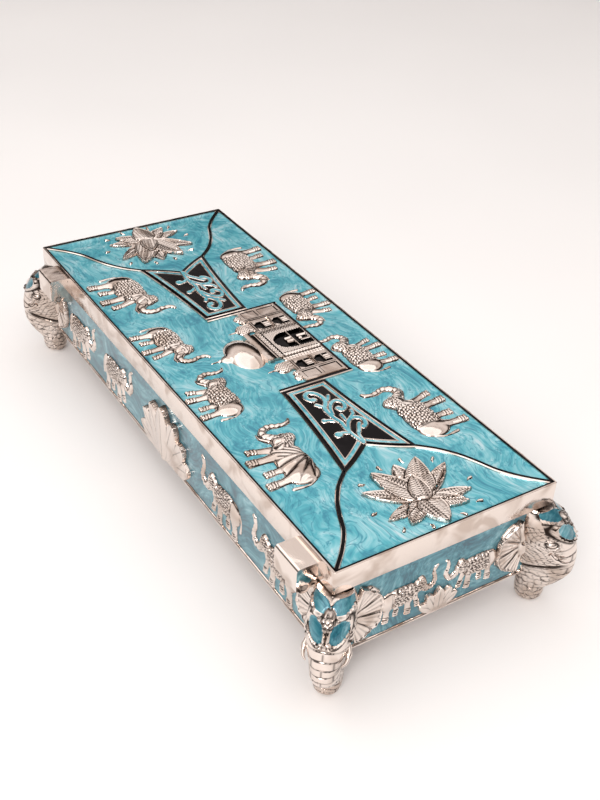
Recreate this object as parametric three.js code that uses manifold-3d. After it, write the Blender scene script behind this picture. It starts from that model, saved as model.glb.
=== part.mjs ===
// Hinged dried-fruit box of plated cast metal with enamel fields, cast elephant reliefs
// and four elephant-head feet. Millimetres, +X along the box, +Y to the hinges, +Z up.
import * as THREE from "three";
import { mergeVertices } from "three/addons/utils/BufferGeometryUtils.js";
import Module from "manifold-3d";

const wasm = await Module();
wasm.setup();

// Lid
const LID_LENGTH = 360;
const LID_WIDTH = 135;
const LID_TOP = 79;
const BAND_HEIGHT = 13.6;
const LID_WALL = 2.3;
const PLATE_THICKNESS = 2;
const RIM_WIDTH = 2.2;
const RIDGE_WIDTH = 2.6;
const RIDGE_HEIGHT = 1.2;

// Box body
const BASE_HEIGHT = 19.1;
const BODY_WALL = 2.2;
const FLOOR_THICKNESS = 2.4;
const LID_CLEARANCE = 0.9;
const REST_GAP = 0.3;
const BASE_LIP = 0.8;
const BASE_LIP_HEIGHT = 1.7;

// Ornament on the lid
const HOUSE_HALF_WIDTH = 43.1;
const HOUSE_BASE_Y = -32.8;
const HOUSE_EAVES_Y = -5.2;
const HOUSE_RELIEF = 1.6;
const HOUSE_TOWER_INNER_SHARE = 0.76;
const HOUSE_PORTAL_SHARE = 0.37;
const KIOSK_PLACE_SHARE = 0.53;
const KIOSK_HALF_WIDTH = 4.2;
const KIOSK_HEIGHT = 4;
const KIOSK_SPIRE = 10;
const KIOSK_SPIRE_WIDTH = 1.4;
const NICHE_HALF_WIDTH = 4.2;
const DOME_HALF_WIDTH = 16.5;
const DOME_RELIEF = 5;
const FINIAL_LENGTH = 12;
const FINIAL_WIDTH = 2.2;
const PANEL_GAP = 0.3;
const PANEL_LENGTH = 77.4;
const PANEL_NARROW_HALF = 14.6;
const PANEL_WIDE_HALF = 23.8;
const PANEL_NOTCH = 15;
const PANEL_BORDER = 3;
const PANEL_HOLLOW = 1.1;
const LARGE_ELEPHANT = 53;
const SMALL_ELEPHANT = 45;
const LARGE_ELEPHANT_PLACE = 0.517;
const SMALL_ELEPHANT_PLACE = 0.16;
const LARGE_ELEPHANT_MARGIN = 3;
const SMALL_ELEPHANT_MARGIN = 1.2;
const ELEPHANT_RELIEF = 3.2;
const LOTUS_REACH = 29;
const LOTUS_FROM_END = 23;
const LOTUS_RELIEF = 2.8;

// Ornament on the walls
const WALL_ELEPHANT = 44;
const END_ELEPHANT = 35;
const WALL_ELEPHANT_PLACES = [0.38, 0.7];
const END_ELEPHANT_PLACE = 19.5;
const WALL_ELEPHANT_RELIEF = 2.6;
const WALL_ELEPHANT_LIFT = 3.2;
const END_ELEPHANT_LIFT = 8;
const WALL_LOTUS_REACH = 38;
const END_LOTUS_REACH = 16;
const WALL_LOTUS_RELIEF = 4.5;
const END_LOTUS_RELIEF = 2.6;

// Hinges
const ARM_LENGTH = 20;
const ARM_REACH = 12.4;
const ARM_DROP = 2.4;
const ARM_HEIGHT = 13.8;
const ARM_WALL = 1.6;
const ARM_WEB = 1.8;
const ARM_RECESS = 1.2;
const ARM_ROUNDING = 2;
const LEFT_ARM_FROM_END = 22;
const RIGHT_ARM_FROM_END = 35;
const PIN_RADIUS = 1.6;
const PIN_CLEARANCE = 0.35;
const PIN_DROP = 3;
const PIN_OUT = 7.1;
const WEB_MARGIN = 1.4;
const LUG_SIDE_GAP = 0.4;
const LUG_ROOT = 8;

// Feet
const FOOT_GAP = 0.3;
const FOOT_TOP_GAP = 0.9;
const FOOT_REACH = 22.2;
const FOOT_HALF_WIDTH = 11.5;
const EAR_LENGTH = 19;
const EAR_RELIEF = 3.4;
const EAR_ROOT = 12;
const TUSK_LENGTH = 13;
const TUSK_RADIUS = 1.5;
const EYE_RADIUS = 1.8;
const ROSETTE_RADIUS = 4;
const ROSETTE_DEPTH = 3;

// Places worked out from the sizes above
const lidHalfLength = LID_LENGTH / 2;
const lidHalfWidth = LID_WIDTH / 2;
const enamelTop = LID_TOP - RIDGE_HEIGHT;
const plateBottom = enamelTop - PLATE_THICKNESS;
const bandBottom = LID_TOP - BAND_HEIGHT;
const bodyHalfLength = lidHalfLength - LID_WALL - LID_CLEARANCE;
const bodyHalfWidth = lidHalfWidth - LID_WALL - LID_CLEARANCE;
const wallTop = plateBottom - REST_GAP;
const panelNarrowX = HOUSE_HALF_WIDTH + RIDGE_WIDTH / 2 + PANEL_GAP;
const panelTipX = panelNarrowX + PANEL_LENGTH;
const pinY = lidHalfWidth + PIN_OUT;
const pinZ = bandBottom - PIN_DROP;
const footHeight = bandBottom - FOOT_TOP_GAP;

// How far joined forms sink into their ground, and how far a cut reaches past what it cuts
const ROOT = 0.5;
const CUT_MARGIN = 1;

// How far an elephant's feet lie below its middle, as a share of its length
const ELEPHANT_FEET = 0.36;

const plated = new THREE.MeshStandardMaterial({ color: 0xd9cbc4, roughness: 0.14, metalness: 1 });
const enamelled = new THREE.MeshStandardMaterial({ color: 0x4fb2bd, roughness: 0.2, metalness: 0 });
const pinSteel = new THREE.MeshStandardMaterial({ color: 0x8f8a86, roughness: 0.35, metalness: 1 });

// Turns a closed three.js geometry into a solid that can be joined and cut.
function solid(geometry) {
  const bare = new THREE.BufferGeometry();
  const source = geometry.index ? geometry.toNonIndexed() : geometry;
  bare.setAttribute("position", source.getAttribute("position"));
  const merged = mergeVertices(bare, 1e-4);
  const corners = merged.index.array;
  const kept = [];
  for (let i = 0; i < corners.length; i += 3) {
    const [a, b, c] = [corners[i], corners[i + 1], corners[i + 2]];
    if (a !== b && b !== c && c !== a) kept.push(a, b, c);
  }
  return new wasm.Manifold(new wasm.Mesh({
    numProp: 3,
    vertProperties: new Float32Array(merged.getAttribute("position").array),
    triVerts: new Uint32Array(kept),
  }));
}

// Gives a solid back as a named mesh with its own material.
function piece(name, body, material) {
  const mesh = body.getMesh();
  const geometry = new THREE.BufferGeometry();
  geometry.setAttribute("position", new THREE.BufferAttribute(new Float32Array(mesh.vertProperties), 3));
  geometry.setIndex(new THREE.BufferAttribute(new Uint32Array(mesh.triVerts), 1));
  const faceted = geometry.toNonIndexed();
  faceted.computeVertexNormals();
  const made = new THREE.Mesh(faceted, material);
  made.name = name;
  return made;
}

// Joins geometries and solids into one solid.
function join(parts) {
  const solids = parts.map((part) => (part.isBufferGeometry ? solid(part) : part));
  return solids.slice(1).reduce((whole, next) => whole.add(next), solids[0]);
}

function block(x0, x1, y0, y1, z0, z1) {
  const box = new THREE.BoxGeometry(x1 - x0, y1 - y0, z1 - z0);
  return box.translate((x0 + x1) / 2, (y0 + y1) / 2, (z0 + z1) / 2);
}

// A block centred on the origin in plan.
function slab(halfX, halfY, z0, z1) {
  return block(-halfX, halfX, -halfY, halfY, z0, z1);
}

// A flat outline raised between two heights.
function raised(points, z0, z1) {
  const prism = new THREE.ExtrudeGeometry(new THREE.Shape(points), { depth: z1 - z0, bevelEnabled: false });
  return prism.translate(0, 0, z0);
}

// A line of even width just inside a flat outline, raised between two heights.
function raisedFrame(points, width, z0, z1) {
  const middle = raised(inset(points, width), z0 - CUT_MARGIN, z1 + CUT_MARGIN);
  return solid(raised(points, z0, z1)).subtract(solid(middle));
}

// Moves every side of a closed outline inwards by a distance, keeping its corners sharp.
function inset(points, distance) {
  const turn = Math.sign(THREE.ShapeUtils.area(points));
  return points.map((here, i) => {
    const before = points[(i + points.length - 1) % points.length];
    const after = points[(i + 1) % points.length];
    const a = here.clone().sub(before).normalize();
    const b = after.clone().sub(here).normalize();
    const na = new THREE.Vector2(-a.y, a.x).multiplyScalar(turn);
    const nb = new THREE.Vector2(-b.y, b.x).multiplyScalar(turn);
    return here.clone().addScaledVector(na.clone().add(nb), distance / (1 + na.dot(nb)));
  });
}

// The outline of a line of even width along an open row of points.
function ribbon(points, width) {
  const sides = points.map((here, i) => {
    const along = points[Math.min(i + 1, points.length - 1)].clone().sub(points[Math.max(i - 1, 0)]);
    const across = new THREE.Vector2(-along.y, along.x).normalize().multiplyScalar(width / 2);
    return [here.clone().add(across), here.clone().sub(across)];
  });
  return [...sides.map((pair) => pair[0]), ...sides.map((pair) => pair[1]).reverse()];
}

// Presses everything below a depth flat, so that a figure has a flat back inside its ground.
function flatBack(geometry, depth) {
  const place = geometry.getAttribute("position");
  for (let i = 0; i < place.count; i += 1) place.setZ(i, Math.max(place.getZ(i), -depth));
  return geometry;
}

// A rounded swelling on the ground plane.
function swelling(x, y, halfX, halfY, height, sides = 8, rings = 3) {
  const ball = new THREE.SphereGeometry(1, sides, rings).rotateX(Math.PI / 2);
  return flatBack(ball.scale(halfX, halfY, height).translate(x, y, 0), ROOT);
}

// A flat-topped limb along a smooth curve through places, its width easing from one end to the other.
function limb(places, thick, thin, top, steps = 1) {
  const curve = new THREE.SplineCurve(places.map(([x, y]) => new THREE.Vector2(x, y)));
  const left = [];
  const right = [];
  for (let i = 0; i <= steps; i += 1) {
    const t = i / steps;
    const along = curve.getTangent(t);
    const across = new THREE.Vector2(-along.y, along.x).multiplyScalar((thick + (thin - thick) * t) / 2);
    left.push(curve.getPoint(t).add(across));
    right.unshift(curve.getPoint(t).sub(across));
  }
  return raised([...left, ...right], -ROOT, top);
}

// A closed skin through rings of points, with a flat cap at each end.
function loft(rings) {
  const sides = rings[0].length;
  const positions = [];
  const face = (a, b, c) => positions.push(...a.toArray(), ...b.toArray(), ...c.toArray());
  for (let i = 0; i + 1 < rings.length; i += 1) {
    for (let k = 0; k < sides; k += 1) {
      const next = (k + 1) % sides;
      face(rings[i][k], rings[i + 1][next], rings[i][next]);
      face(rings[i][k], rings[i + 1][k], rings[i + 1][next]);
    }
  }
  const last = rings[rings.length - 1];
  for (let k = 1; k + 1 < sides; k += 1) {
    face(rings[0][0], rings[0][k], rings[0][k + 1]);
    face(last[0], last[k + 1], last[k]);
  }
  const geometry = new THREE.BufferGeometry();
  geometry.setAttribute("position", new THREE.Float32BufferAttribute(positions, 3));
  return geometry;
}

// A leaf-shaped petal about a place, pointing in a direction and ridged along its middle. Its foot
// starts a little behind the place, so that petals about one place overlap there.
function petal(x, y, angle, length, width, height) {
  const leaf = new THREE.SphereGeometry(1, 4, 3).rotateZ(-Math.PI / 2);
  leaf.scale(length * 0.53, width / 2, height).translate(length * 0.47, 0, 0);
  return flatBack(leaf.rotateZ(angle).translate(x, y, 0), ROOT);
}

// A walking elephant in relief, as shares of its length: it faces the given way (1 is +x).
// The shallower figures on the walls have neither a tusk nor a tail that stands clear.
function elephant(length, facing, relief, hasTuskAndTail) {
  const at = ([x, y]) => [x * length * facing, y * length];
  const bump = (x, y, rx, ry, share, sides) =>
    swelling(...at([x, y]), rx * length, ry * length, relief * share, sides);
  const limbTop = relief * 0.5;
  const line = (places, thick, thin, steps) =>
    limb(places.map(at), thick * length, thin * length, limbTop, steps);
  const fine = [
    line([[0.24, 0.02], [0.38, -0.1]], 0.06, 0.02),
    line([[-0.44, 0.09], [-0.49, -0.14]], 0.03, 0.03),
  ];
  return [
    ...(hasTuskAndTail ? fine : []),
    bump(-0.2, 0.03, 0.29, 0.19, 0.85),
    bump(0.19, 0.11, 0.14, 0.13, 1, 6),
    raised(saddle(length, facing), -ROOT, relief * 0.95),
    line([[-0.34, -0.02], [-0.37, -0.36]], 0.17, 0.13),
    line([[-0.19, -0.06], [-0.2, -0.29]], 0.14, 0.1),
    line([[0.0, 0.0], [0.02, -0.36]], 0.16, 0.12),
    line([[0.1, 0.0], [0.18, -0.28]], 0.13, 0.1),
    line([[0.26, 0.07], [0.36, 0.0], [0.44, 0.04], [0.46, 0.14], [0.41, 0.25], [0.46, 0.36]], 0.12, 0.04, 3),
  ];
}

// The outline of the blanket on an elephant's back.
function saddle(length, facing) {
  const corners = [[-0.31, 0.2], [-0.36, -0.08], [-0.17, -0.13], [0.02, -0.08], [0.02, 0.18], [-0.15, 0.23]];
  return corners.map(([x, y]) => new THREE.Vector2(x * length * facing, y * length));
}

// Stands relief work on a wall: turn 0 is the front wall, and z in the relief points outwards.
function onWall(parts, turn, distance) {
  const place = new THREE.Matrix4().makeRotationZ(turn);
  place.multiply(new THREE.Matrix4().makeTranslation(0, -distance, 0));
  place.multiply(new THREE.Matrix4().makeRotationX(Math.PI / 2));
  return parts.map((part) => part.applyMatrix4(place));
}

// Lays relief work on the lid: turn Math.PI makes its feet point to the hinges.
function onLid(parts, x, y, turn) {
  const place = new THREE.Matrix4().makeTranslation(x, y, enamelTop);
  place.multiply(new THREE.Matrix4().makeRotationZ(turn));
  return parts.map((part) => part.applyMatrix4(place));
}

// A half lotus that opens upwards from a place on the ground plane: petals fan out on both
// sides of an upright one, each pair a little shorter and lower than the last.
function openLotus(x, y, reach, relief, pairs, spread) {
  const petals = [];
  for (let i = pairs; i >= 0; i -= 1) {
    for (const side of i === 0 ? [0] : [-1, 1]) {
      const angle = Math.PI / 2 + side * i * spread;
      const length = reach * (1 - 0.05 * i);
      petals.push(petal(x, y, angle, length, reach * 0.44, relief * (1 - 0.16 * i)));
    }
  }
  return petals;
}

// A lotus seen from above and in front: large petals towards +x, small ones towards -x.
function fullLotus(reach, relief) {
  const petals = [];
  for (let i = 0; i < 7; i += 1) {
    const angle = (i - 3) * 0.42;
    const tall = 1 - 0.05 * Math.abs(i - 3);
    petals.push(petal(0, 0, angle, reach * tall, reach * 0.36, relief * (1 - 0.1 * Math.abs(i - 3))));
  }
  for (let i = 0; i < 5; i += 1) {
    const angle = Math.PI + (i - 2) * 0.52;
    petals.push(petal(0, 0, angle, reach * 0.72, reach * 0.32, relief * 0.7));
  }
  petals.push(petal(-reach * 0.1, 0, 0, reach * 0.5, reach * 0.3, relief * 1.1));
  return petals;
}

// The outline of a scroll panel at one end of the lid, from the palace towards the lotus,
// with slightly hollow long sides and an end notched like a chevron.
function panelOutline(side) {
  const sag = (t) => PANEL_NARROW_HALF + (PANEL_WIDE_HALF - PANEL_NARROW_HALF) * t
    - PANEL_HOLLOW * 4 * t * (1 - t);
  const steps = [0, 0.25, 0.5, 0.75, 1];
  const upper = steps.map((t) => new THREE.Vector2(side * (panelNarrowX + PANEL_LENGTH * t), sag(t)));
  const lower = steps.map((t) => new THREE.Vector2(side * (panelNarrowX + PANEL_LENGTH * t), -sag(t)));
  const notch = new THREE.Vector2(side * (panelTipX - PANEL_NOTCH), 0);
  return [...upper, notch, ...lower.reverse()];
}

// The S-shaped ridge from a panel tip to the lid's corner.
function cornerRidge(sideX, sideY) {
  const from = new THREE.Vector2(panelTipX - RIDGE_WIDTH * 0.8, PANEL_WIDE_HALF - RIDGE_WIDTH * 0.5);
  const to = new THREE.Vector2(lidHalfLength - RIM_WIDTH, lidHalfWidth - RIM_WIDTH);
  const shares = [[0, 0], [0.14, 0.2], [0.3, 0.36], [0.46, 0.47], [0.64, 0.58], [0.82, 0.76], [1, 1]];
  const route = shares.map(([u, v]) => new THREE.Vector2(
    sideX * (from.x + (to.x - from.x) * u), sideY * (from.y + (to.y - from.y) * v)));
  const line = ribbon(new THREE.SplineCurve(route).getPoints(8), RIDGE_WIDTH);
  return raised(line, enamelTop - ROOT, LID_TOP);
}

// An arched niche outline with its sill at y.
function arch(x, y, halfWidth, height) {
  const spring = height - halfWidth;
  const points = [new THREE.Vector2(x - halfWidth, y), new THREE.Vector2(x + halfWidth, y)];
  for (let i = 0; i <= 4; i += 1) {
    const angle = (i / 4) * Math.PI;
    const pointed = i === 2 ? 1.15 : 1;
    points.push(new THREE.Vector2(
      x + halfWidth * Math.cos(angle), y + spring + halfWidth * pointed * Math.sin(angle)));
  }
  return points;
}

// A domed palace front in low relief, its foot towards the front of the lid.
function palace() {
  const foot = HOUSE_BASE_Y + RIDGE_WIDTH / 2 + PANEL_GAP;
  const high = HOUSE_EAVES_Y - foot;
  const z0 = enamelTop - ROOT;
  const wing = enamelTop + HOUSE_RELIEF * 0.75;
  const proud = enamelTop + HOUSE_RELIEF;
  const portal = enamelTop + HOUSE_RELIEF * 1.35;
  const towerInner = HOUSE_HALF_WIDTH * HOUSE_TOWER_INNER_SHARE;
  const towerOuter = HOUSE_HALF_WIDTH - RIDGE_WIDTH / 2 - PANEL_GAP;
  const portalHalf = HOUSE_HALF_WIDTH * HOUSE_PORTAL_SHARE;
  const drumTop = HOUSE_EAVES_Y + high * 0.34;
  const parts = [
    block(-towerOuter, towerOuter, foot, HOUSE_EAVES_Y, z0, wing),
    block(-portalHalf, portalHalf, foot, HOUSE_EAVES_Y + high * 0.14, z0, portal),
    block(-portalHalf * 0.93, portalHalf * 0.93, HOUSE_EAVES_Y, drumTop, z0, proud),
  ];
  for (const side of [-1, 1]) {
    const [inner, outer] = side > 0 ? [towerInner, towerOuter] : [-towerOuter, -towerInner];
    parts.push(block(inner, outer, foot, HOUSE_EAVES_Y + high * 0.04, z0, proud));
    const kiosk = side * HOUSE_HALF_WIDTH * KIOSK_PLACE_SHARE;
    parts.push(block(kiosk - KIOSK_HALF_WIDTH, kiosk + KIOSK_HALF_WIDTH,
      HOUSE_EAVES_Y - ROOT, HOUSE_EAVES_Y + KIOSK_HEIGHT, z0, proud));
    parts.push(...onLid([
      swelling(0, 0, KIOSK_HALF_WIDTH * 1.05, KIOSK_HALF_WIDTH * 1.2, HOUSE_RELIEF * 1.2, 6),
      limb([[0, 0], [0, KIOSK_SPIRE]], KIOSK_SPIRE_WIDTH, KIOSK_SPIRE_WIDTH / 2, HOUSE_RELIEF * 0.6),
    ], kiosk, HOUSE_EAVES_Y + KIOSK_HEIGHT * 1.4, 0));
  }
  const domeHalf = DOME_HALF_WIDTH * 0.68;
  parts.push(...onLid([
    swelling(0, 0, DOME_HALF_WIDTH, domeHalf, DOME_RELIEF, 12, 6),
    limb([[0, domeHalf * 0.8], [0, domeHalf + FINIAL_LENGTH]],
      FINIAL_WIDTH, FINIAL_WIDTH * 0.4, HOUSE_RELIEF * 0.6),
  ], 0, drumTop + domeHalf * 0.72, 0));
  const nicheFloor = enamelTop + HOUSE_RELIEF * 0.15;
  const cut = (outline, top) => raised(outline, nicheFloor, top + CUT_MARGIN);
  const niches = [cut(arch(0, foot + high * 0.08, portalHalf * 0.5, high * 0.78), portal)];
  for (const side of [-1, 1]) {
    const middle = side * (portalHalf + towerInner) / 2;
    for (const level of [0.1, 0.55]) {
      niches.push(cut(arch(middle, foot + high * level, NICHE_HALF_WIDTH, high * 0.34), wing));
    }
  }
  return join(parts).subtract(join(niches));
}

function makeLid() {
  const field = [slab(lidHalfLength, lidHalfWidth, bandBottom, enamelTop)];
  const rim = solid(slab(lidHalfLength, lidHalfWidth, enamelTop - ROOT, LID_TOP)).subtract(
    solid(slab(lidHalfLength - RIM_WIDTH, lidHalfWidth - RIM_WIDTH,
      enamelTop - CUT_MARGIN, LID_TOP + CUT_MARGIN)));
  const houseEdge = HOUSE_HALF_WIDTH;
  const frame = [
    [-1, PANEL_NARROW_HALF], [-1, HOUSE_BASE_Y], [1, HOUSE_BASE_Y], [1, PANEL_NARROW_HALF],
  ].map(([side, y]) => new THREE.Vector2(side * houseEdge, y));
  const low = frame[1].y - RIDGE_WIDTH / 2;
  for (const side of [-1, 1]) {
    const x = side * houseEdge;
    field.push(block(x - RIDGE_WIDTH / 2, x + RIDGE_WIDTH / 2, low, frame[0].y, enamelTop - ROOT, LID_TOP));
    const outline = panelOutline(side);
    field.push(raisedFrame(outline, RIDGE_WIDTH, enamelTop - ROOT, LID_TOP));
    field.push(raised(inset(outline, RIDGE_WIDTH + PANEL_BORDER), enamelTop - ROOT, LID_TOP));
    for (const other of [-1, 1]) {
      field.push(cornerRidge(side, other));
      const turn = other > 0 ? Math.PI : 0;
      const facing = other > 0 ? side : -side;
      const edge = lidHalfWidth - RIM_WIDTH;
      const figures = [
        [LARGE_ELEPHANT, LARGE_ELEPHANT_PLACE, LARGE_ELEPHANT_MARGIN],
        [SMALL_ELEPHANT, SMALL_ELEPHANT_PLACE, SMALL_ELEPHANT_MARGIN],
      ];
      for (const [length, place, margin] of figures) {
        const x = side * place * lidHalfLength;
        const y = other * (edge - margin - length * ELEPHANT_FEET);
        field.push(...onLid(elephant(length, facing, ELEPHANT_RELIEF, true), x, y, turn));
      }
    }
    const heart = side * (lidHalfLength - LOTUS_FROM_END);
    const opening = side > 0 ? Math.PI : 0;
    field.push(...onLid(fullLotus(LOTUS_REACH, LOTUS_RELIEF), heart, 0, opening));
  }
  field.push(block(-houseEdge, houseEdge, low, low + RIDGE_WIDTH, enamelTop - ROOT, LID_TOP));
  const hollow = slab(lidHalfLength - LID_WALL, lidHalfWidth - LID_WALL,
    bandBottom - CUT_MARGIN, plateBottom);
  return join(field).add(rim).add(palace()).subtract(solid(hollow));
}

// Points of a round end about the hinge pin, in the plane across the pin, clockwise from up.
function roundEnd(radius, from, to, steps = 6) {
  return Array.from({ length: steps + 1 }, (_, i) => {
    const angle = from + ((to - from) * i) / steps;
    return new THREE.Vector2(pinY + radius * Math.cos(angle), pinZ + radius * Math.sin(angle));
  });
}

// Turns a profile drawn across the hinge (x is +Y, y is +Z) into a bar along the pin.
function alongPin(points, x0, x1) {
  const bar = new THREE.ExtrudeGeometry(new THREE.Shape(points), { depth: x1 - x0, bevelEnabled: false });
  const turn = new THREE.Matrix4().makeBasis(
    new THREE.Vector3(0, 1, 0), new THREE.Vector3(0, 0, 1), new THREE.Vector3(1, 0, 0));
  return bar.applyMatrix4(turn).translate(x0, 0, 0);
}

function pinRod(radius, x0, x1) {
  const rod = new THREE.CylinderGeometry(radius, radius, x1 - x0, 12).rotateZ(Math.PI / 2);
  return rod.translate((x0 + x1) / 2, pinY, pinZ);
}

const arms = {
  left: -lidHalfLength + LEFT_ARM_FROM_END,
  right: lidHalfLength - RIGHT_ARM_FROM_END,
};
const webInner = ARM_LENGTH / 2 - ARM_RECESS - ARM_WEB;
const lugRadius = PIN_DROP - REST_GAP;

// The lug that stands out from the body's back wall and holds one hinge pin.
function lug(middle) {
  const half = webInner - LUG_SIDE_GAP;
  const wall = bodyHalfWidth - ROOT;
  const profile = [
    new THREE.Vector2(wall, pinZ + lugRadius - LUG_ROOT),
    ...roundEnd(lugRadius, -Math.PI / 2, Math.PI / 2),
    new THREE.Vector2(wall, pinZ + lugRadius),
  ];
  const bore = pinRod(PIN_RADIUS + PIN_CLEARANCE, middle - half - CUT_MARGIN, middle + half + CUT_MARGIN);
  return solid(alongPin(profile, middle - half, middle + half)).subtract(solid(bore));
}

// A hinge arm: a cover with a rounded outer edge, open below, and a web with a pin hole at each end.
function makeArm(name, middle) {
  const back = lidHalfWidth + REST_GAP;
  const outer = lidHalfWidth + ARM_REACH;
  const top = LID_TOP - ARM_DROP;
  const bottom = top - ARM_HEIGHT;
  const rounded = [0, 1, 2, 3].map((i) => {
    const angle = (i / 3) * (Math.PI / 2);
    return new THREE.Vector2(
      outer - ARM_ROUNDING + ARM_ROUNDING * Math.cos(angle),
      top - ARM_ROUNDING + ARM_ROUNDING * Math.sin(angle));
  });
  const cover = [
    new THREE.Vector2(outer - ARM_WALL, bottom),
    new THREE.Vector2(outer, bottom),
    ...rounded,
    new THREE.Vector2(back, top),
    new THREE.Vector2(back, top - ARM_WALL),
    new THREE.Vector2(outer - ARM_WALL, top - ARM_WALL),
  ];
  const tab = PIN_RADIUS + PIN_CLEARANCE + WEB_MARGIN;
  const web = [
    new THREE.Vector2(back, bandBottom),
    ...roundEnd(tab, Math.PI, 2 * Math.PI),
    new THREE.Vector2(outer - ARM_WALL / 2, bottom + ROOT),
    new THREE.Vector2(outer - ARM_WALL / 2, top - ARM_WALL / 2),
    new THREE.Vector2(back, top - ARM_WALL / 2),
  ];
  const half = ARM_LENGTH / 2;
  let arm = solid(alongPin(cover, middle - half, middle + half));
  for (const side of [-1, 1]) {
    const [near, far] = side > 0 ? [webInner, webInner + ARM_WEB] : [-webInner - ARM_WEB, -webInner];
    arm = arm.add(solid(alongPin(web, middle + near, middle + far)));
  }
  const bore = pinRod(PIN_RADIUS + PIN_CLEARANCE, middle - half - CUT_MARGIN, middle + half + CUT_MARGIN);
  return piece(name, arm.subtract(solid(bore)), plated);
}

function makePin(name, middle) {
  const half = webInner + ARM_WEB;
  return piece(name, solid(pinRod(PIN_RADIUS, middle - half, middle + half)), pinSteel);
}

function makeBox() {
  const parts = [
    slab(bodyHalfLength, bodyHalfWidth, BASE_HEIGHT, wallTop),
    slab(bodyHalfLength + BASE_LIP, bodyHalfWidth + BASE_LIP, BASE_HEIGHT, BASE_HEIGHT + BASE_LIP_HEIGHT),
  ];
  const wallGround = BASE_HEIGHT + WALL_ELEPHANT_LIFT + WALL_ELEPHANT * ELEPHANT_FEET;
  const endGround = BASE_HEIGHT + END_ELEPHANT_LIFT + END_ELEPHANT * ELEPHANT_FEET;
  const lotusFoot = BASE_HEIGHT + BASE_LIP_HEIGHT;
  for (const turn of [0, Math.PI]) {
    const figures = openLotus(0, lotusFoot, WALL_LOTUS_REACH, WALL_LOTUS_RELIEF, 3, 0.42);
    for (const side of [-1, 1]) {
      for (const place of WALL_ELEPHANT_PLACES) {
        const figure = elephant(WALL_ELEPHANT, -side, WALL_ELEPHANT_RELIEF, false);
        const x = side * place * bodyHalfLength;
        figures.push(...figure.map((part) => part.translate(x, wallGround, 0)));
      }
    }
    parts.push(...onWall(figures, turn, bodyHalfWidth));
  }
  for (const turn of [Math.PI / 2, -Math.PI / 2]) {
    const figures = openLotus(0, lotusFoot, END_LOTUS_REACH, END_LOTUS_RELIEF, 2, 0.5);
    for (const side of [-1, 1]) {
      const figure = elephant(END_ELEPHANT, -side, WALL_ELEPHANT_RELIEF, false);
      figures.push(...figure.map((part) => part.translate(side * END_ELEPHANT_PLACE, endGround, 0)));
    }
    parts.push(...onWall(figures, turn, bodyHalfLength));
  }
  const inside = slab(bodyHalfLength - BODY_WALL, bodyHalfWidth - BODY_WALL,
    BASE_HEIGHT + FLOOR_THICKNESS, wallTop + CUT_MARGIN);
  const under = slab(lidHalfLength, lidHalfWidth, 0, BASE_HEIGHT);
  return join([...parts, lug(arms.left), lug(arms.right)]).subtract(join([inside, under]));
}

// One elephant-head foot about a corner of the body: x points away from the box along the
// diagonal, y across it. Rows give height, front, back and half width as shares of its sizes.
function footHead() {
  const rows = [
    [0, 0.22, -0.1, 0.36], [0.025, 0.35, -0.22, 0.53], [0.09, 0.42, -0.29, 0.65], [0.17, 0.46, -0.3, 0.68],
    [0.26, 0.76, -0.3, 0.69], [0.35, 0.95, -0.36, 0.7], [0.45, 1, -0.54, 0.76], [0.56, 0.99, -0.56, 0.88],
    [0.68, 0.91, -0.56, 0.98], [0.8, 0.78, -0.56, 1], [0.9, 0.54, -0.56, 0.95], [1, 0.2, -0.5, 0.7],
  ];
  const sides = 10;
  const rings = rows.map(([height, front, back, half]) => {
    const middle = FOOT_REACH * (front + back) / 2;
    const reach = FOOT_REACH * (front - back) / 2;
    return Array.from({ length: sides }, (_, k) => {
      const angle = (k / sides) * 2 * Math.PI;
      return new THREE.Vector3(
        middle + reach * Math.cos(angle),
        FOOT_HALF_WIDTH * half * Math.sign(Math.sin(angle)) * Math.abs(Math.sin(angle)) ** 0.8,
        footHeight * height);
    });
  });
  return loft(rings.map((ring) => ring.reverse()));
}

// A ribbed fan-shaped ear on the wall beside a foot, drawn on the ground plane of relief work.
function ear(side) {
  const lobes = [];
  for (let i = 0; i < 3; i += 1) {
    const rise = 1.05 - i * 0.8;
    const angle = side > 0 ? rise : Math.PI - rise;
    const share = 1 - 0.08 * i;
    lobes.push(petal(0, 0, angle, EAR_LENGTH * share, EAR_LENGTH * 0.62, EAR_RELIEF * share));
  }
  return lobes;
}

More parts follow.
